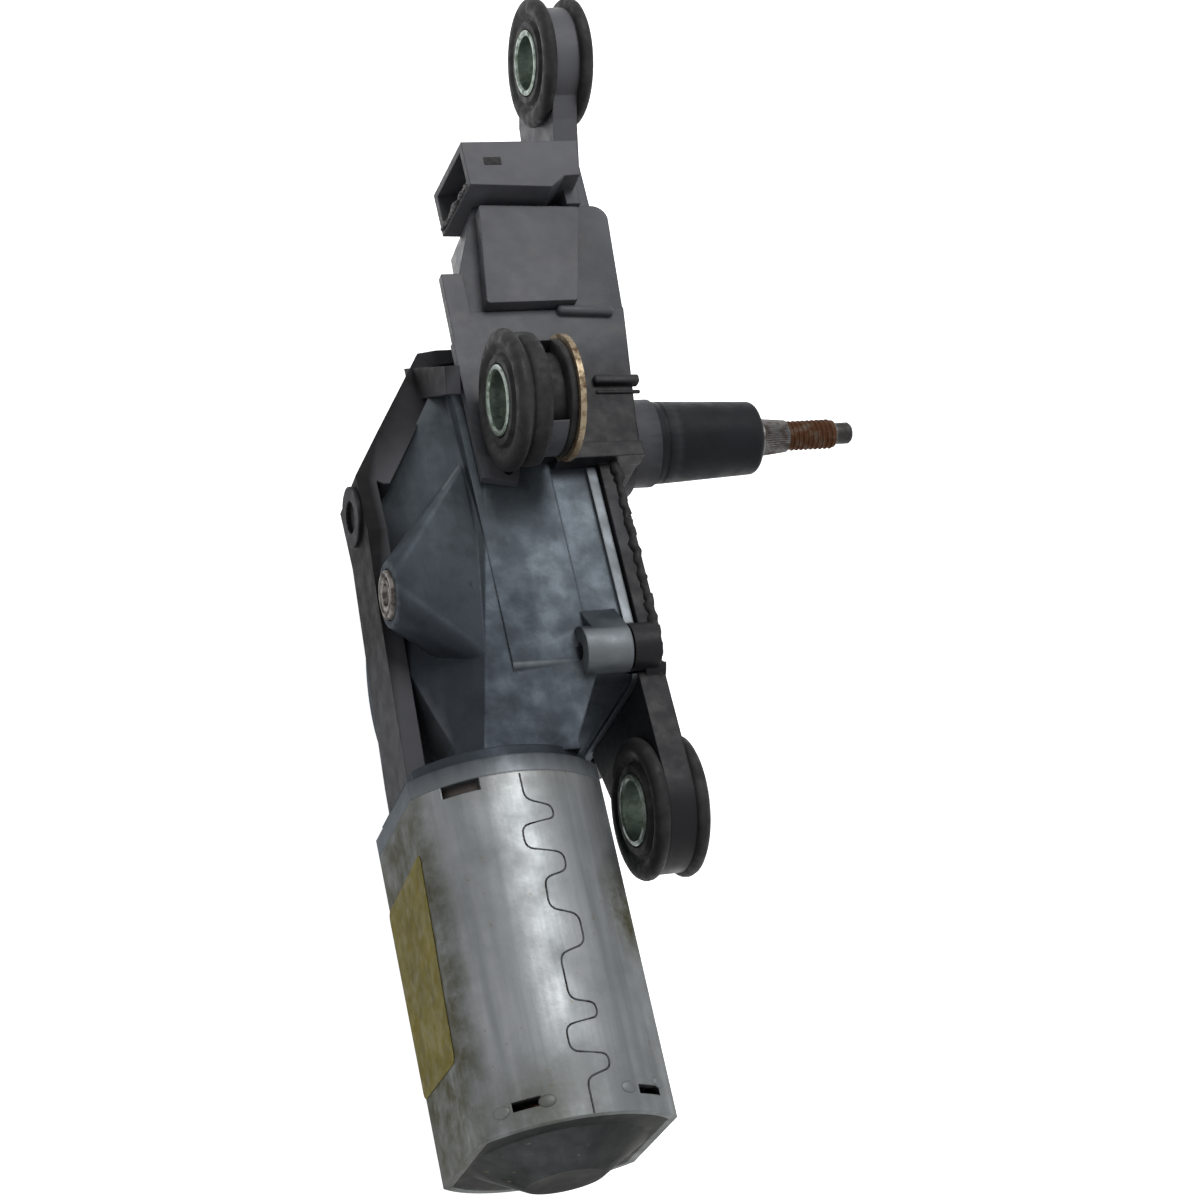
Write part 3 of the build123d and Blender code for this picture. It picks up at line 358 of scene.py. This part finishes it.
cover_painted_shade = [((4.0, -66.0, 4.0), 52.0, 0.3),     # painted shade on the ear of the low fixing, in the shadow of the housing
                ((8.0, -6.0, 15.0), 24.0, 0.6)]     # painted shadow of the washer on the edge below it
cover_black = black_plastic("glass_filled_black", (0.060, 0.062, 0.070), 0.46, 0.34,
                            painted_shade=cover_painted_shade)
rear_black = black_plastic("rear_channel_black", (0.011, 0.011, 0.012), 0.62, 0.08, specular=0.06)
sleeve_black = black_plastic("sleeve_black", (0.008, 0.0095, 0.011), 0.52, 0.06, specular=0.10)
soft_black = rubber("moulded_rubber", 0.016)
dress(cover_black, "front_cover", "box_lid")
dress(rear_black, "lead_cover")
dress(sleeve_black, "spindle_sleeve")
dress(soft_black, "top_grommet", "mid_grommet", "low_grommet", "cover_seal")


# %% [markdown]
# ## Small metals
# Steel, brass, bronze and copper differ mostly in colour and a little in shine, so one recipe
# serves them all: a base colour, a tint for its stains, how much of it is stained, how rough
# it is, and the size of its grain.

# %% Metals
SOOT = (0.035, 0.033, 0.032)


def metal(name, tone, stain, amount=0.5, shine=0.35, grain=0.6, sooty=None):
    """Metal with stains; sooty is a place and a reach where it has gone dark."""
    f = Finish(name, metallic=0.9, roughness=shine, edge=0.12)
    marks = f.levels(f.noise(2.2, 5, 0.65), 0.0, 1.0, 0.62 - amount * 0.3, 0.80 - amount * 0.3)
    skin = f.blend(marks, tone, stain)
    if sooty:
        skin = f.blend(f.near(*sooty, 0.3), skin, SOOT)
    f.colour(skin)
    f.roughness(f.levels(marks, shine, min(1.0, shine + 0.35), 0, 1))
    f.bump(f.noise(grain, 3, 0.6), 0.015)
    return f.material


bright_steel = metal("turned_steel", (0.50, 0.50, 0.51), (0.22, 0.20, 0.18), 0.3)
dark_steel = metal("spindle_steel", (0.30, 0.30, 0.31), (0.15, 0.11, 0.08), 0.5, 0.42)
washer_steel = metal("tarnished_washer", (0.27, 0.22, 0.15), (0.10, 0.062, 0.036), 0.6, 0.5)
zinc = metal("passivated_zinc", (0.27, 0.315, 0.285), (0.11, 0.14, 0.105), 0.6, 0.30)
bronze = metal("sintered_bronze", (0.42, 0.28, 0.16), (0.20, 0.13, 0.08), 0.5, 0.5, 0.25)
brass = metal("rolled_brass", (0.70, 0.50, 0.22), (0.40, 0.26, 0.12), 0.3, 0.3)
copper = metal("drawn_copper", (0.66, 0.30, 0.17), (0.35, 0.15, 0.09), 0.3, 0.3)
core = metal("sheet_steel_core", (0.28, 0.28, 0.30), (0.14, 0.10, 0.08), 0.4, 0.5)
dress(bright_steel, "armature_shaft", "wheel_pin", "crank_pin", "output_pinion", "sector_gear",
      "sector_pin", "swing_link", "link_spacer", "link_washer", "spindle_washer", "bearing_tube",
      "bush_clip", "magnet_clips", "brush_springs", "wheel_clip", "spindle_clip")
dress(dark_steel, "output_spindle")
dress(washer_steel, "mid_washer")
dress(zinc, "top_bush", "mid_bush_sleeve", "low_bush")
dress(bronze, "end_bush", "mid_bush", "worm_end_bush", "spindle_bush_low", "spindle_bush_top")
dress(brass, "brush_boxes", "connector_pins")
dress(copper, "armature_windings", "commutator_bars", "contact_ring", "lead_strips")
dress(core, "lamination_core", "chokes")


# %% [markdown]
# ## Plain non-metals inside
# The wheel is white acetal, the brush card brown phenolic, the magnets grey ferrite and the
# brushes black carbon. They are only seen when the motor is opened, but they still get a
# grain and a little variation.

# %% Inner pieces
def plain(name, tone, shine, spread=0.2):
    """One even colour that strays up and down by the spread."""
    f = Finish(name, roughness=shine)
    low = tuple(c * (1 - spread) for c in tone)
    high = tuple(min(1.0, c * (1 + spread)) for c in tone)
    f.colour(f.ramp(f.noise(4.0, 4), low, high))
    f.roughness(f.levels(f.noise(2.0, 3), shine - 0.08, shine + 0.08))
    f.bump(f.noise(0.5, 3), 0.015)
    return f.material


dress(plain("white_acetal", (0.74, 0.72, 0.66), 0.4, 0.08), "worm_wheel", "thrust_pad")
dress(plain("brown_phenolic", (0.022, 0.014, 0.010), 0.5), "brush_card", "commutator_hub")
dress(plain("green_circuit_board", (0.03, 0.16, 0.08), 0.35), "control_board")
dress(plain("grey_ferrite", (0.10, 0.10, 0.11), 0.7), "magnet_near", "magnet_far")
dress(plain("pressed_carbon", (0.035, 0.035, 0.037), 0.6), "brush_near", "brush_far")


# %% [markdown]
# ## Making pieces
# Every new piece is built in a bmesh, in millimetres, and scaled down once at the end. A turned
# piece is a closed profile spun about a line along X, the direction of the spindle.

# %% Piece helpers
WELD = 0.0005       # millimetres within which two points are one


def make_piece(name, builder, material, body, smooth=35):
    """Turns a bmesh in millimetres into a finished object that rides on a body."""
    bmesh.ops.remove_doubles(builder, verts=builder.verts, dist=WELD)
    bmesh.ops.recalc_face_normals(builder, faces=builder.faces)
    bmesh.ops.scale(builder, verts=builder.verts, vec=(MM, MM, MM))
    mesh = bpy.data.meshes.new(name)
    builder.to_mesh(mesh)
    builder.free()
    mesh.materials.append(material)
    mesh.shade_smooth()
    mesh.set_sharp_from_angle(angle=radians(smooth))
    piece = bpy.data.objects.new(name, mesh)
    bpy.context.scene.collection.objects.link(piece)
    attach(piece, body)
    print(name, len(mesh.polygons), "faces")
    return piece


def turned(profile, centre, steps):
    """Spins a closed profile of (along, radius) points about the line along X through centre."""
    builder = bmesh.new()
    verts = [builder.verts.new((along, radius, 0)) for along, radius in profile]
    edges = [builder.edges.new((a, b)) for a, b in zip(verts, verts[1:] + verts[:1])]
    bmesh.ops.spin(builder, geom=verts + edges, cent=(0, 0, 0), axis=(1, 0, 0), angle=tau,
                   steps=steps, use_merge=True)
    bmesh.ops.translate(builder, verts=builder.verts, vec=centre)
    return builder


def node_sides(node):
    """The ends of a node along X and the middle of its box across it, in millimetres."""
    (x0, y0, z0), (x1, y1, z1) = [[c / MM for c in corner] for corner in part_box(node)]
    return x0, x1, (0, (y0 + y1) / 2, (z0 + z1) / 2)


# %% [markdown]
# ## The rolled seam of the can
# A cheap motor can is a strip of sheet wrapped round a mandrel and locked along a row of
# dovetails. What you see is one hair line that wanders left and right. It is drawn flat, as arc
# length and distance along the can, its corners are rounded, and only then is it wrapped round
# the cylinder. A curve with a small bevel gives the line its body, and ends up as a mesh.

# %% Beads
BEAD_ROUNDNESS = 2
LUMP_SCALE = 0.9        # how quickly the thickness of a squeezed bead changes, per millimetre
CORNER_STEPS = 4        # chords in a rounded corner
CORNER_SHARE = 0.45     # the most of a straight run that one rounded corner may take


def bead(name, points, radius, material, body, uneven=0.0):
    """Thin round bead through points in millimetres, uneven where the bead was squeezed out."""
    curve = bpy.data.curves.new(name, "CURVE")
    curve.dimensions = "3D"
    curve.bevel_depth = radius
    curve.bevel_resolution = BEAD_ROUNDNESS
    curve.use_fill_caps = True
    line = curve.splines.new("POLY")
    line.points.add(len(points) - 1)
    for point, spot in zip(line.points, points):
        point.co = (*spot, 1)
        point.radius = 1 + uneven * noise.noise(Vector(spot) * LUMP_SCALE)
    holder = bpy.data.objects.new(name + "_line", curve)
    mesh = bpy.data.meshes.new_from_object(holder)
    bpy.data.objects.remove(holder)
    builder = bmesh.new()
    builder.from_mesh(mesh)
    return make_piece(name, builder, material, body, smooth=60)


def softened(points, radius):
    """Rounds the inner corners of an open line in a plane with short chords."""
    result = [points[0]]
    for previous, corner, following in zip(points, points[1:], points[2:]):
        here = Vector(corner)
        before = Vector(previous) - here
        after = Vector(following) - here
        reach = min(radius, before.length * CORNER_SHARE, after.length * CORNER_SHARE)
        start = here + before.normalized() * reach
        end = here + after.normalized() * reach
        for k in range(CORNER_STEPS + 1):
            t = k / CORNER_STEPS
            spot = start * (1 - t) ** 2 + here * 2 * t * (1 - t) + end * t ** 2
            result.append((spot.x, spot.y))
    return result + [points[-1]]


# %% Can seam
CAN_X, CAN_Z, CAN_R = -23.6, -4.0, 21.5     # axis and outer radius of the can
SEAM_CORNER, SEAM_WIDTH = 1.5, 0.34
seam_flat = [(0, -72.4), (0, -77.2), (4.6, -78.6), (4.7, -80.8), (-1.6, -82.0), (-1.6, -86.0),
             (4.9, -87.2), (4.9, -90.4), (0.4, -91.6), (0.2, -97.0), (5.2, -98.4), (5.2, -103.6),
             (0.2, -105.2), (0.2, -113.0), (4.6, -114.0), (4.6, -116.4), (-1.5, -117.4),
             (-1.5, -121.8), (4.8, -122.8), (4.8, -125.2), (0.2, -126.6), (0.2, -132.5)]
seam_line = []
for arc, y in softened(seam_flat, SEAM_CORNER):
    angle = arc / CAN_R
    seam_line.append((CAN_X + CAN_R * sin(angle), y, CAN_Z + CAN_R * cos(angle)))
joint_dark = metal("seam_shadow", (0.05, 0.052, 0.055), (0.02, 0.018, 0.016), 0.5, 0.6)
bead("can_seam", seam_line, SEAM_WIDTH / 2, joint_dark, "housing")


# %% [markdown]
# ## Stakes and label
# The end plate is held by pushing the wall of the can into its slots: each stake leaves a small
# bright bulge beside the slot. On the greasy flat sits a film label, long since bleached. It
# carries nothing here. It is a flat quad whose corners are moved to the slanted outline and
# bevelled round, and an extrusion gives it its thickness.

# %% Stakes beside the slots
STAKE_SIZE = (1.5, 1.1, 0.42, 1)        # half axes of a bulge, the last one off the wall
STAKE_SUNK = 0.12
stakes = bmesh.new()
for x, y in ((-37.2, -129.2), (-9.6, -127.4), (-30.4, -129.2), (-16.2, -128.6)):
    lean = atan2(x - CAN_X, (CAN_R ** 2 - (x - CAN_X) ** 2) ** 0.5)
    place = Matrix.Translation((x, y, CAN_Z + CAN_R * cos(lean) - STAKE_SUNK))
    turn = Matrix.Rotation(lean, 4, "Y")
    bmesh.ops.create_icosphere(stakes, subdivisions=3, radius=1.0,
                               matrix=place @ turn @ Matrix.Diagonal(STAKE_SIZE))
make_piece("can_stakes", stakes, can_zinc, "housing")

# %% Bare label
YELLOW_DARK, YELLOW_LIGHT = (0.115, 0.092, 0.009), (0.19, 0.155, 0.016)
GRIME = (0.085, 0.078, 0.040)
LABEL_X, LABEL_THICK, LABEL_CORNER = -40.86, 0.12, 1.4
LABEL_OUTLINE = ((-117.0, -17.4), (-82.5, -17.4), (-81.5, 8.2), (-117.4, 4.8))      # y, z

label_film = Finish("bleached_yellow_film", roughness=0.65, specular=0.12)
label_film.reflection((0.4, 0.4, 0.35))
yellow = label_film.ramp(label_film.noise(9.0, 5, 0.6), YELLOW_DARK, YELLOW_LIGHT, 0.3, 0.7)
grime = label_film.levels(label_film.noise(3.0, 5, 0.7), 0.0, 0.6, 0.52, 0.74)
label_film.colour(label_film.blend(grime, yellow, GRIME))
label_film.roughness(label_film.levels(label_film.noise(2.5, 3), 0.5, 0.7))
label_film.bump(label_film.noise(1.5, 3, 0.6), 0.03)

label = bmesh.new()
bmesh.ops.create_grid(label, x_segments=1, y_segments=1, size=1)
around = sorted(label.verts, key=lambda vert: atan2(vert.co.y, vert.co.x))
for vert, (y, z) in zip(around, LABEL_OUTLINE):
    vert.co = (LABEL_X, y, z)
bmesh.ops.bevel(label, geom=label.verts[:], affect="VERTICES", offset=LABEL_CORNER, segments=4,
                profile=0.5, material=-1)
film = bmesh.ops.extrude_face_region(label, geom=label.faces[:])
outer = [item for item in film["geom"] if isinstance(item, bmesh.types.BMVert)]
bmesh.ops.translate(label, verts=outer, vec=(-LABEL_THICK, 0, 0))
make_piece("can_label", label, label_film.material, "housing")


# %% [markdown]
# ## Rubber grommets
# Each fixing point is a soft wheel with a groove for the ear and a hole for the bush. The outer
# face of a disc has a raised collar round the bush and a shallow ring, which hold dirt. All of
# it is one closed profile, spun. The metal bushes inside have rolled rims.

# %% Grommets
# profiles are lists of (millimetres in from the end, radius)
DISC_FACE = ((0.35, 6.47), (0.0, 6.75), (0.0, 7.9), (0.75, 8.5), (0.75, 9.3), (0.15, 10.0),
             (0.0, 10.9), (0.15, 11.8), (0.55, 12.45), (1.2, 12.78), (1.9, 12.7), (2.35, 12.4),
             (2.6, 11.9))
PLAIN_GROOVE = ((2.65, 8.5), (3.0, 8.13), (7.2, 8.13), (7.55, 8.5))
# the middle grommet is deeper: a second, thicker tyre stands behind its near disc
TYRE_AND_LIP = ((2.75, 11.5), (3.1, 11.4), (3.35, 11.75), (3.9, 12.0), (5.6, 12.0),
                (6.2, 11.85), (6.55, 11.4), (6.6, 8.6), (6.8, 8.13), (9.9, 8.13), (10.1, 8.6),
                (10.15, 10.2), (10.5, 10.58), (11.2, 10.58), (11.55, 10.3), (11.6, 6.8),
                (11.3, 6.47))
GROMMET_STEPS, BUSH_STEPS = 96, 80


def grommet(node, middle, two_discs=True):
    """Replaces a plain grommet: the near disc, what stands behind it, and the far disc."""
    near_x, far_x, centre = node_sides(node)
    profile = [(near_x + depth, radius) for depth, radius in (*DISC_FACE, *middle)]
    if two_discs:
        profile += [(far_x - depth, radius) for depth, radius in DISC_FACE[::-1]]
    piece = make_piece(node + "_rubber", turned(profile, centre, GROMMET_STEPS), soft_black,
                       "housing", smooth=50)
    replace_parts(piece, node)


grommet("top_grommet", PLAIN_GROOVE)
grommet("low_grommet", PLAIN_GROOVE)
grommet("mid_grommet", TYRE_AND_LIP, two_discs=False)


# %% Bushes
BUSH_RIM = ((0.35, 5.3), (0.0, 5.6), (0.0, 6.2), (0.2, 6.43))
for node in ("top_bush", "mid_bush_sleeve", "low_bush"):
    near_x, far_x, centre = node_sides(node)
    outline = [(near_x + depth, radius) for depth, radius in BUSH_RIM]
    outline += [(far_x - depth, radius) for depth, radius in BUSH_RIM[::-1]]
    piece = make_piece(node + "_turned", turned(outline, centre, BUSH_STEPS), zinc, "housing")
    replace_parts(piece, node)


# %% [markdown]
# ## The end of the spindle
# The wiper arm sits on a knurled taper and a nut pulls it down. The knurl is cut by moving every
# other line of points on the taper in by a hair. The thread is a short tooth profile spun round
# while it moves along, which is what a screw is.

# %% Spindle
FLUTES, FLUTE_DEPTH = 48, 0.28
KNURL_FROM, KNURL_TO, KNURL_MIN_RADIUS = 44.95, 50.4, 2.8
TIP_PLACE, TIP_REACH = (63.0, 0.0, 0.0), 4.0        # the end of the spindle has gone dark

rust = metal("rusty_spindle", (0.085, 0.062, 0.048), (0.10, 0.045, 0.022), 0.9, 0.62, 0.4)
taper_steel = metal("oiled_taper", (0.15, 0.145, 0.145), (0.07, 0.055, 0.045), 0.6, 0.42,
                    sooty=(TIP_PLACE, TIP_REACH))
shaft_line = [(-15.8, 0.0), (-15.8, 3.7), (-15.5, 4.0), (40.6, 4.0), (40.6, 3.4), (41.4, 3.4),
              (41.4, 4.0), (44.1, 4.0), (44.2, 3.75), (44.9, 3.72), (45.0, 3.62), (50.3, 3.12),
              (50.5, 2.62), (60.4, 2.62), (60.5, 2.1), (63.6, 2.1), (64.1, 1.7), (64.1, 0.0)]
shaft = turned(shaft_line, (0, 0, 0), 2 * FLUTES)
for vert in shaft.verts:
    reach = Vector((0, vert.co.y, vert.co.z))
    line = round(atan2(vert.co.z, vert.co.y) / tau * 2 * FLUTES)
    on_knurl = KNURL_FROM < vert.co.x < KNURL_TO and reach.length > KNURL_MIN_RADIUS
    if on_knurl and line % 2:
        vert.co -= reach.normalized() * FLUTE_DEPTH
knurled = make_piece("spindle_shaft", shaft, taper_steel, "spindle", smooth=30)
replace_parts(knurled, "output_spindle")

# %% Thread
PITCH, TURNS, TURN_STEPS = 1.0, 9, 32
TOOTH = ((50.7, 2.5, 0), (51.05, 2.9, 0), (51.15, 2.9, 0), (51.5, 2.5, 0))
ROOT_RING = ((50.55, 2.62), (50.6, 2.68), (60.2, 2.68), (60.3, 2.62))
thread = bmesh.new()
thread.faces.new([thread.verts.new(spot) for spot in TOOTH])
bmesh.ops.spin(thread, geom=thread.verts[:] + thread.edges[:] + thread.faces[:], cent=(0, 0, 0),
               axis=(1, 0, 0), dvec=(PITCH / TURN_STEPS, 0, 0), angle=tau * TURNS,
               steps=TURNS * TURN_STEPS, use_merge=False)
make_piece("spindle_thread", thread, rust, "spindle", smooth=40)
make_piece("thread_root", turned(ROOT_RING, (0, 0, 0), 2 * TURN_STEPS), rust, "spindle")


# %% [markdown]
# ## Screws
# The cover is held by four pan-head screws with a star recess, and the back by one larger screw in
# a turned collar. The recess is part of the spun profile, and its round wall is then pulled into
# six points.

# %% Screws
SCREW_STEPS = 48
STAR_POINTS, STAR_DEPTH = 6, 0.14       # how far the wall is pulled, as a share of its radius
STAR_HUB = 0.2                          # points this near the axis stay


def screw(builder, profile, centre, star):
    """Adds one spun screw to a builder; points nearer the axis than star are pulled into a star."""
    one = turned(profile, (0, 0, 0), SCREW_STEPS)
    for vert in one.verts:
        reach = Vector((0, vert.co.y, vert.co.z))
        if STAR_HUB < reach.length < star:
            angle = atan2(vert.co.z, vert.co.y)
            vert.co += reach * STAR_DEPTH * cos(STAR_POINTS * angle)
    bmesh.ops.translate(one, verts=one.verts, vec=centre)
    part = bpy.data.meshes.new("screw_part")
    one.to_mesh(part)
    one.free()
    builder.from_mesh(part)
    bpy.data.meshes.remove(part)


PAN_HEAD = ((0.5, 0.0), (0.5, 1.25), (1.55, 1.35), (1.6, 1.7), (1.45, 2.5), (1.0, 3.0),
            (0.4, 3.18), (0.0, 3.2), (0.0, 1.55))           # heights over the seat
SHANK_END = ((-2.6, 1.55), (-3.0, 1.2), (-3.0, 0.0))
COVER_SCREWS = ((-49.0, 14.2, 4.8), (10.8, -29.8, 7.4), (-50.0, -41.0, 7.4), (12.1, 7.6, 7.4))
PAN_STAR, COLLAR_STAR = 1.5, 2.0

screw_steel = metal("phosphated_screw", (0.13, 0.13, 0.135), (0.07, 0.055, 0.045), 0.5, 0.4)
heads = bmesh.new()
for y, z, seat in COVER_SCREWS:
    pan = [(seat + height, radius) for height, radius in PAN_HEAD]
    screw(heads, (*pan, *SHANK_END), (0, y, z), PAN_STAR)
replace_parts(make_piece("cover_screw_heads", heads, screw_steel, "housing"),
            "cover_screws")

REAR_SCREW = (0, -33.7, 10.8)
collar = bmesh.new()
ring = [(-37.8, 0.0), (-37.8, 1.9), (-38.5, 2.15), (-38.6, 2.9), (-38.1, 3.2), (-38.1, 3.5),
        (-38.65, 3.75), (-38.6, 4.2), (-38.3, 4.4), (-36.7, 4.4), (-36.7, 1.85), (-24.4, 1.85),
        (-24.0, 1.5), (-24.0, 0.0)]
screw(collar, ring, REAR_SCREW, COLLAR_STAR)
collar_steel = metal("worn_collar", (0.14, 0.13, 0.12), (0.06, 0.05, 0.042), 0.6, 0.45)
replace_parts(make_piece("rear_screw_collar", collar, collar_steel, "housing"),
            "rear_screw")


# %% [markdown]
# ## Bars and latch window on the cover
# Short bars stiffen the near wall of the cover: one under the raised panel, and a thick and a
# thin one beside the washer. On the socket, a thin black patch is painted shade for the dark
# latch slot of the plug. Each is a box that is stretched into place and bevelled until it looks
# moulded, and it sinks a little into the wall.

# %% Bars
def moulded_bar(builder, centre, size, turn, soft):
    """Adds a box with rounded edges, turned about Z by an angle in degrees."""
    place = Matrix.Translation(centre) @ Matrix.Rotation(radians(turn), 4, "Z")
    fresh = bmesh.ops.create_cube(builder, size=1.0, matrix=place @ Matrix.Diagonal((*size, 1)))
    edges = {edge for vert in fresh["verts"] for edge in vert.link_edges}
    bmesh.ops.bevel(builder, geom=list(edges), affect="EDGES", offset=soft, segments=3, profile=0.5,
                    material=-1)


# centre, size, turn in degrees and rounding of each bar
COVER_BARS = (((9.2, 20.2, 15.7), (11.0, 1.9, 2.4), -4, 0.8),
              ((11.9, 4.9, 15.7), (8.8, 1.7, 2.2), -2, 0.4),
              ((11.9, 2.6, 15.5), (8.6, 0.7, 0.6), -2, 0.2))
# painted shade: a thin black patch where the latch slot of the socket lies in shadow
LATCH_SLOT_SHADE = ((-4.4, 50.2, 22.0), (3.4, 1.7, 0.3), 0, 0.1)

bars = bmesh.new()
for bar in COVER_BARS:
    moulded_bar(bars, *bar)
make_piece("cover_bars", bars, cover_black, "housing", smooth=60)

slot_shade = bmesh.new()
moulded_bar(slot_shade, *LATCH_SLOT_SHADE)
make_piece("latch_slot_painted_shade", slot_shade, soft_black, "housing", smooth=60)


# %% [markdown]
# ## Chipped mouth of the socket
# The lower lip of the socket has been hit, and the black plastic has gone pale and crumbly along
# the break. A thin and very uneven bead does this, in the colour of broken plastic.

# %% Chips
LIP_X, LIP_Y, LIP_Z = -11.25, 45.9, 5.4             # its low end
LIP_STEPS, LIP_STEP, LIP_LEAN = 46, 0.33, 0.073     # it leans in X as it climbs in Z
CRUMB_SIZE, CHIP_RADIUS = 0.22, 0.34
CRUMB_SEED = 1      # noise vectors start from the clock unless they are given a seed
noise.seed_set(CRUMB_SEED)

broken = Finish("broken_plastic", roughness=0.8, specular=0.2)
broken.colour(broken.ramp(broken.noise(0.9, 4, 0.7), (0.06, 0.058, 0.06), (0.34, 0.32, 0.31),
                          0.4, 0.6))
broken.bump(broken.noise(0.4, 4, 0.7), 0.08)
lip_line = []
for step in range(LIP_STEPS):
    z = LIP_Z + step * LIP_STEP
    crumb = noise.noise_vector(Vector((z * 1.7, 2.0, 5.0))) * CRUMB_SIZE
    lip_line.append((LIP_X + (z - LIP_Z) * LIP_LEAN + crumb.x, LIP_Y + crumb.y, z))
bead("socket_chips", lip_line, CHIP_RADIUS, broken.material, "housing",
     uneven=1.3)


# %% [markdown]
# ## Squeezed-out sealant
# When the cover goes on, black sealant creeps out past its edge and sets in lumps. The bead
# follows the edge of the cover from beside the washer down to the near lug and round its
# corner, and its thickness wanders.

# %% Sealant
EDGE_GUIDE = ((-12.0, 16.0), (-20.0, 16.1), (-28.0, 16.2), (-36.0, 16.3), (-43.0, 16.4),
              (-50.0, 16.0), (-54.2, 13.5), (-56.0, 9.0), (-56.4, 3.0), (-56.2, -6.0),
              (-56.0, -14.0))               # y, z
EDGE_X, EDGE_INSET = 8.0, 0.9
SEALANT_STEPS, SEALANT_RADIUS = 9, 0.75
LUMP_OUT, LUMP_DOWN = 0.7, 0.5              # how far a lump strays from the edge
edge_line = []
for (y0, z0), (y1, z1) in zip(EDGE_GUIDE, EDGE_GUIDE[1:]):
    for step in range(SEALANT_STEPS):
        share = step / SEALANT_STEPS
        y, z = y0 + (y1 - y0) * share, z0 + (z1 - z0) * share
        lump = noise.noise(Vector((y, z, 3.0)) * 0.6)
        edge_line.append((EDGE_X + LUMP_OUT * lump, y, z - EDGE_INSET + LUMP_DOWN * lump))
bead("cover_sealant", edge_line, SEALANT_RADIUS, soft_black, "housing",
     uneven=0.9)


# %% [markdown]
# ## Floor and light
# A pale floor just under the part catches a soft shadow. One strong lamp gives the broad
# bright band that a rolled can needs, and two weak ones soften its shadows. The room lights
# the part in grey, but the camera and every reflection see it pure white, as in the photograph.

# %% Stage
FLOOR_GAP, FLOOR_HALF = 0.5 * MM, 3.0
FLOOR_GLOW = 0.85       # what the camera sees, so that the floor melts into the white room
WHITE = (1, 1, 1, 1)
floor_mesh = bpy.data.meshes.new("floor")
sheet = bmesh.new()
bmesh.ops.create_grid(sheet, x_segments=1, y_segments=1, size=FLOOR_HALF)
bmesh.ops.translate(sheet, verts=sheet.verts, vec=(0, 0, cad_box[0][2] - FLOOR_GAP))
sheet.to_mesh(floor_mesh)
sheet.free()
floor = bpy.data.objects.new("floor", floor_mesh)
bpy.context.scene.collection.objects.link(floor)

paper = Finish("white_paper", roughness=0.9)
paper.shader.inputs["Base Color"].default_value = (0.9, 0.9, 0.9, 1)


def seen_directly(tree):
    """One for rays from the camera, through glass or off a shine, nothing for the lighting."""
    path = tree.nodes.new("ShaderNodeLightPath")
    total = path.outputs["Is Camera Ray"]
    for kind in ("Is Glossy Ray", "Is Transmission Ray"):
        either = tree.nodes.new("ShaderNodeMath")
        either.operation = "MAXIMUM"
        tree.links.new(total, either.inputs[0])
        tree.links.new(path.outputs[kind], either.inputs[1])
        total = either.outputs["Value"]
    return total


paper.link(paper.levels(seen_directly(paper.tree), 0.0, FLOOR_GLOW, 0, 1),
           paper.shader.inputs["Emission Strength"])
paper.shader.inputs["Emission Color"].default_value = WHITE
floor_mesh.materials.append(paper.material)

# %% Lamps
MIDDLE = Vector((-0.01, -0.03, 0.0))        # what the lamps are turned toward


def lamp(name, place, size, power):
    """Square area lamp at a place in metres, turned toward the middle of the part."""
    light = bpy.data.lights.new(name, "AREA")
    light.size = size
    light.energy = power
    holder = bpy.data.objects.new(name, light)
    holder.location = place
    holder.rotation_euler = (MIDDLE - Vector(place)).to_track_quat("-Z", "Y").to_euler()
    bpy.context.scene.collection.objects.link(holder)


lamp("key", (0.13, 0.26, 0.70), size=0.36, power=4.4)
lamp("fill", (-0.50, -0.30, 0.60), size=0.6, power=0.5)
lamp("rim", (0.60, -0.35, 0.30), size=0.5, power=0.5)

# %% Room
ROOM_GREY, ROOM_STRENGTH = (0.55, 0.56, 0.58, 1), 0.42
world = bpy.data.worlds.new("studio")
bpy.context.scene.world = world
world.use_nodes = True
sky = world.node_tree
soft_grey = sky.nodes["Background"]
soft_grey.inputs["Color"].default_value = ROOM_GREY
soft_grey.inputs["Strength"].default_value = ROOM_STRENGTH
white_wall = sky.nodes.new("ShaderNodeBackground")
white_wall.inputs["Color"].default_value = WHITE
choice = sky.nodes.new("ShaderNodeMixShader")
sky.links.new(seen_directly(sky), choice.inputs["Fac"])
sky.links.new(soft_grey.outputs["Background"], choice.inputs[1])
sky.links.new(white_wall.outputs["Background"], choice.inputs[2])
sky.links.new(choice.outputs["Shader"], sky.nodes["World Output"].inputs["Surface"])

# %% [markdown]
# ## Camera
# The camera stands where the photograph was taken from. Its place, its lens and its directions
# were fitted to the picture. Two directions are typed in and trued up, and the third is made
# from them.

# %% Camera
CAMERA_PLACE = Vector((-173.1, -250.4, 449.3)) * MM
CAMERA_RIGHT = Vector((0.9395, -0.2105, 0.2703))
CAMERA_BACK = Vector((-0.3359, -0.4112, 0.8474))
SENSOR, FOCAL_LENGTH = 36, 86.42        # millimetres
NEAR_CLIP = 10 * MM
back = CAMERA_BACK.normalized()
right = (CAMERA_RIGHT - back * CAMERA_RIGHT.dot(back)).normalized()
up = back.cross(right)
camera_data = bpy.data.cameras.new("camera")
camera_data.sensor_width = SENSOR
camera_data.lens = FOCAL_LENGTH
camera_data.clip_start = NEAR_CLIP
camera = bpy.data.objects.new("camera", camera_data)
facing = Matrix((right, up, back)).transposed().to_4x4()
camera.matrix_world = Matrix.Translation(CAMERA_PLACE) @ facing
bpy.context.scene.collection.objects.link(camera)
bpy.context.scene.camera = camera
bpy.context.scene.view_settings.view_transform = "Standard"
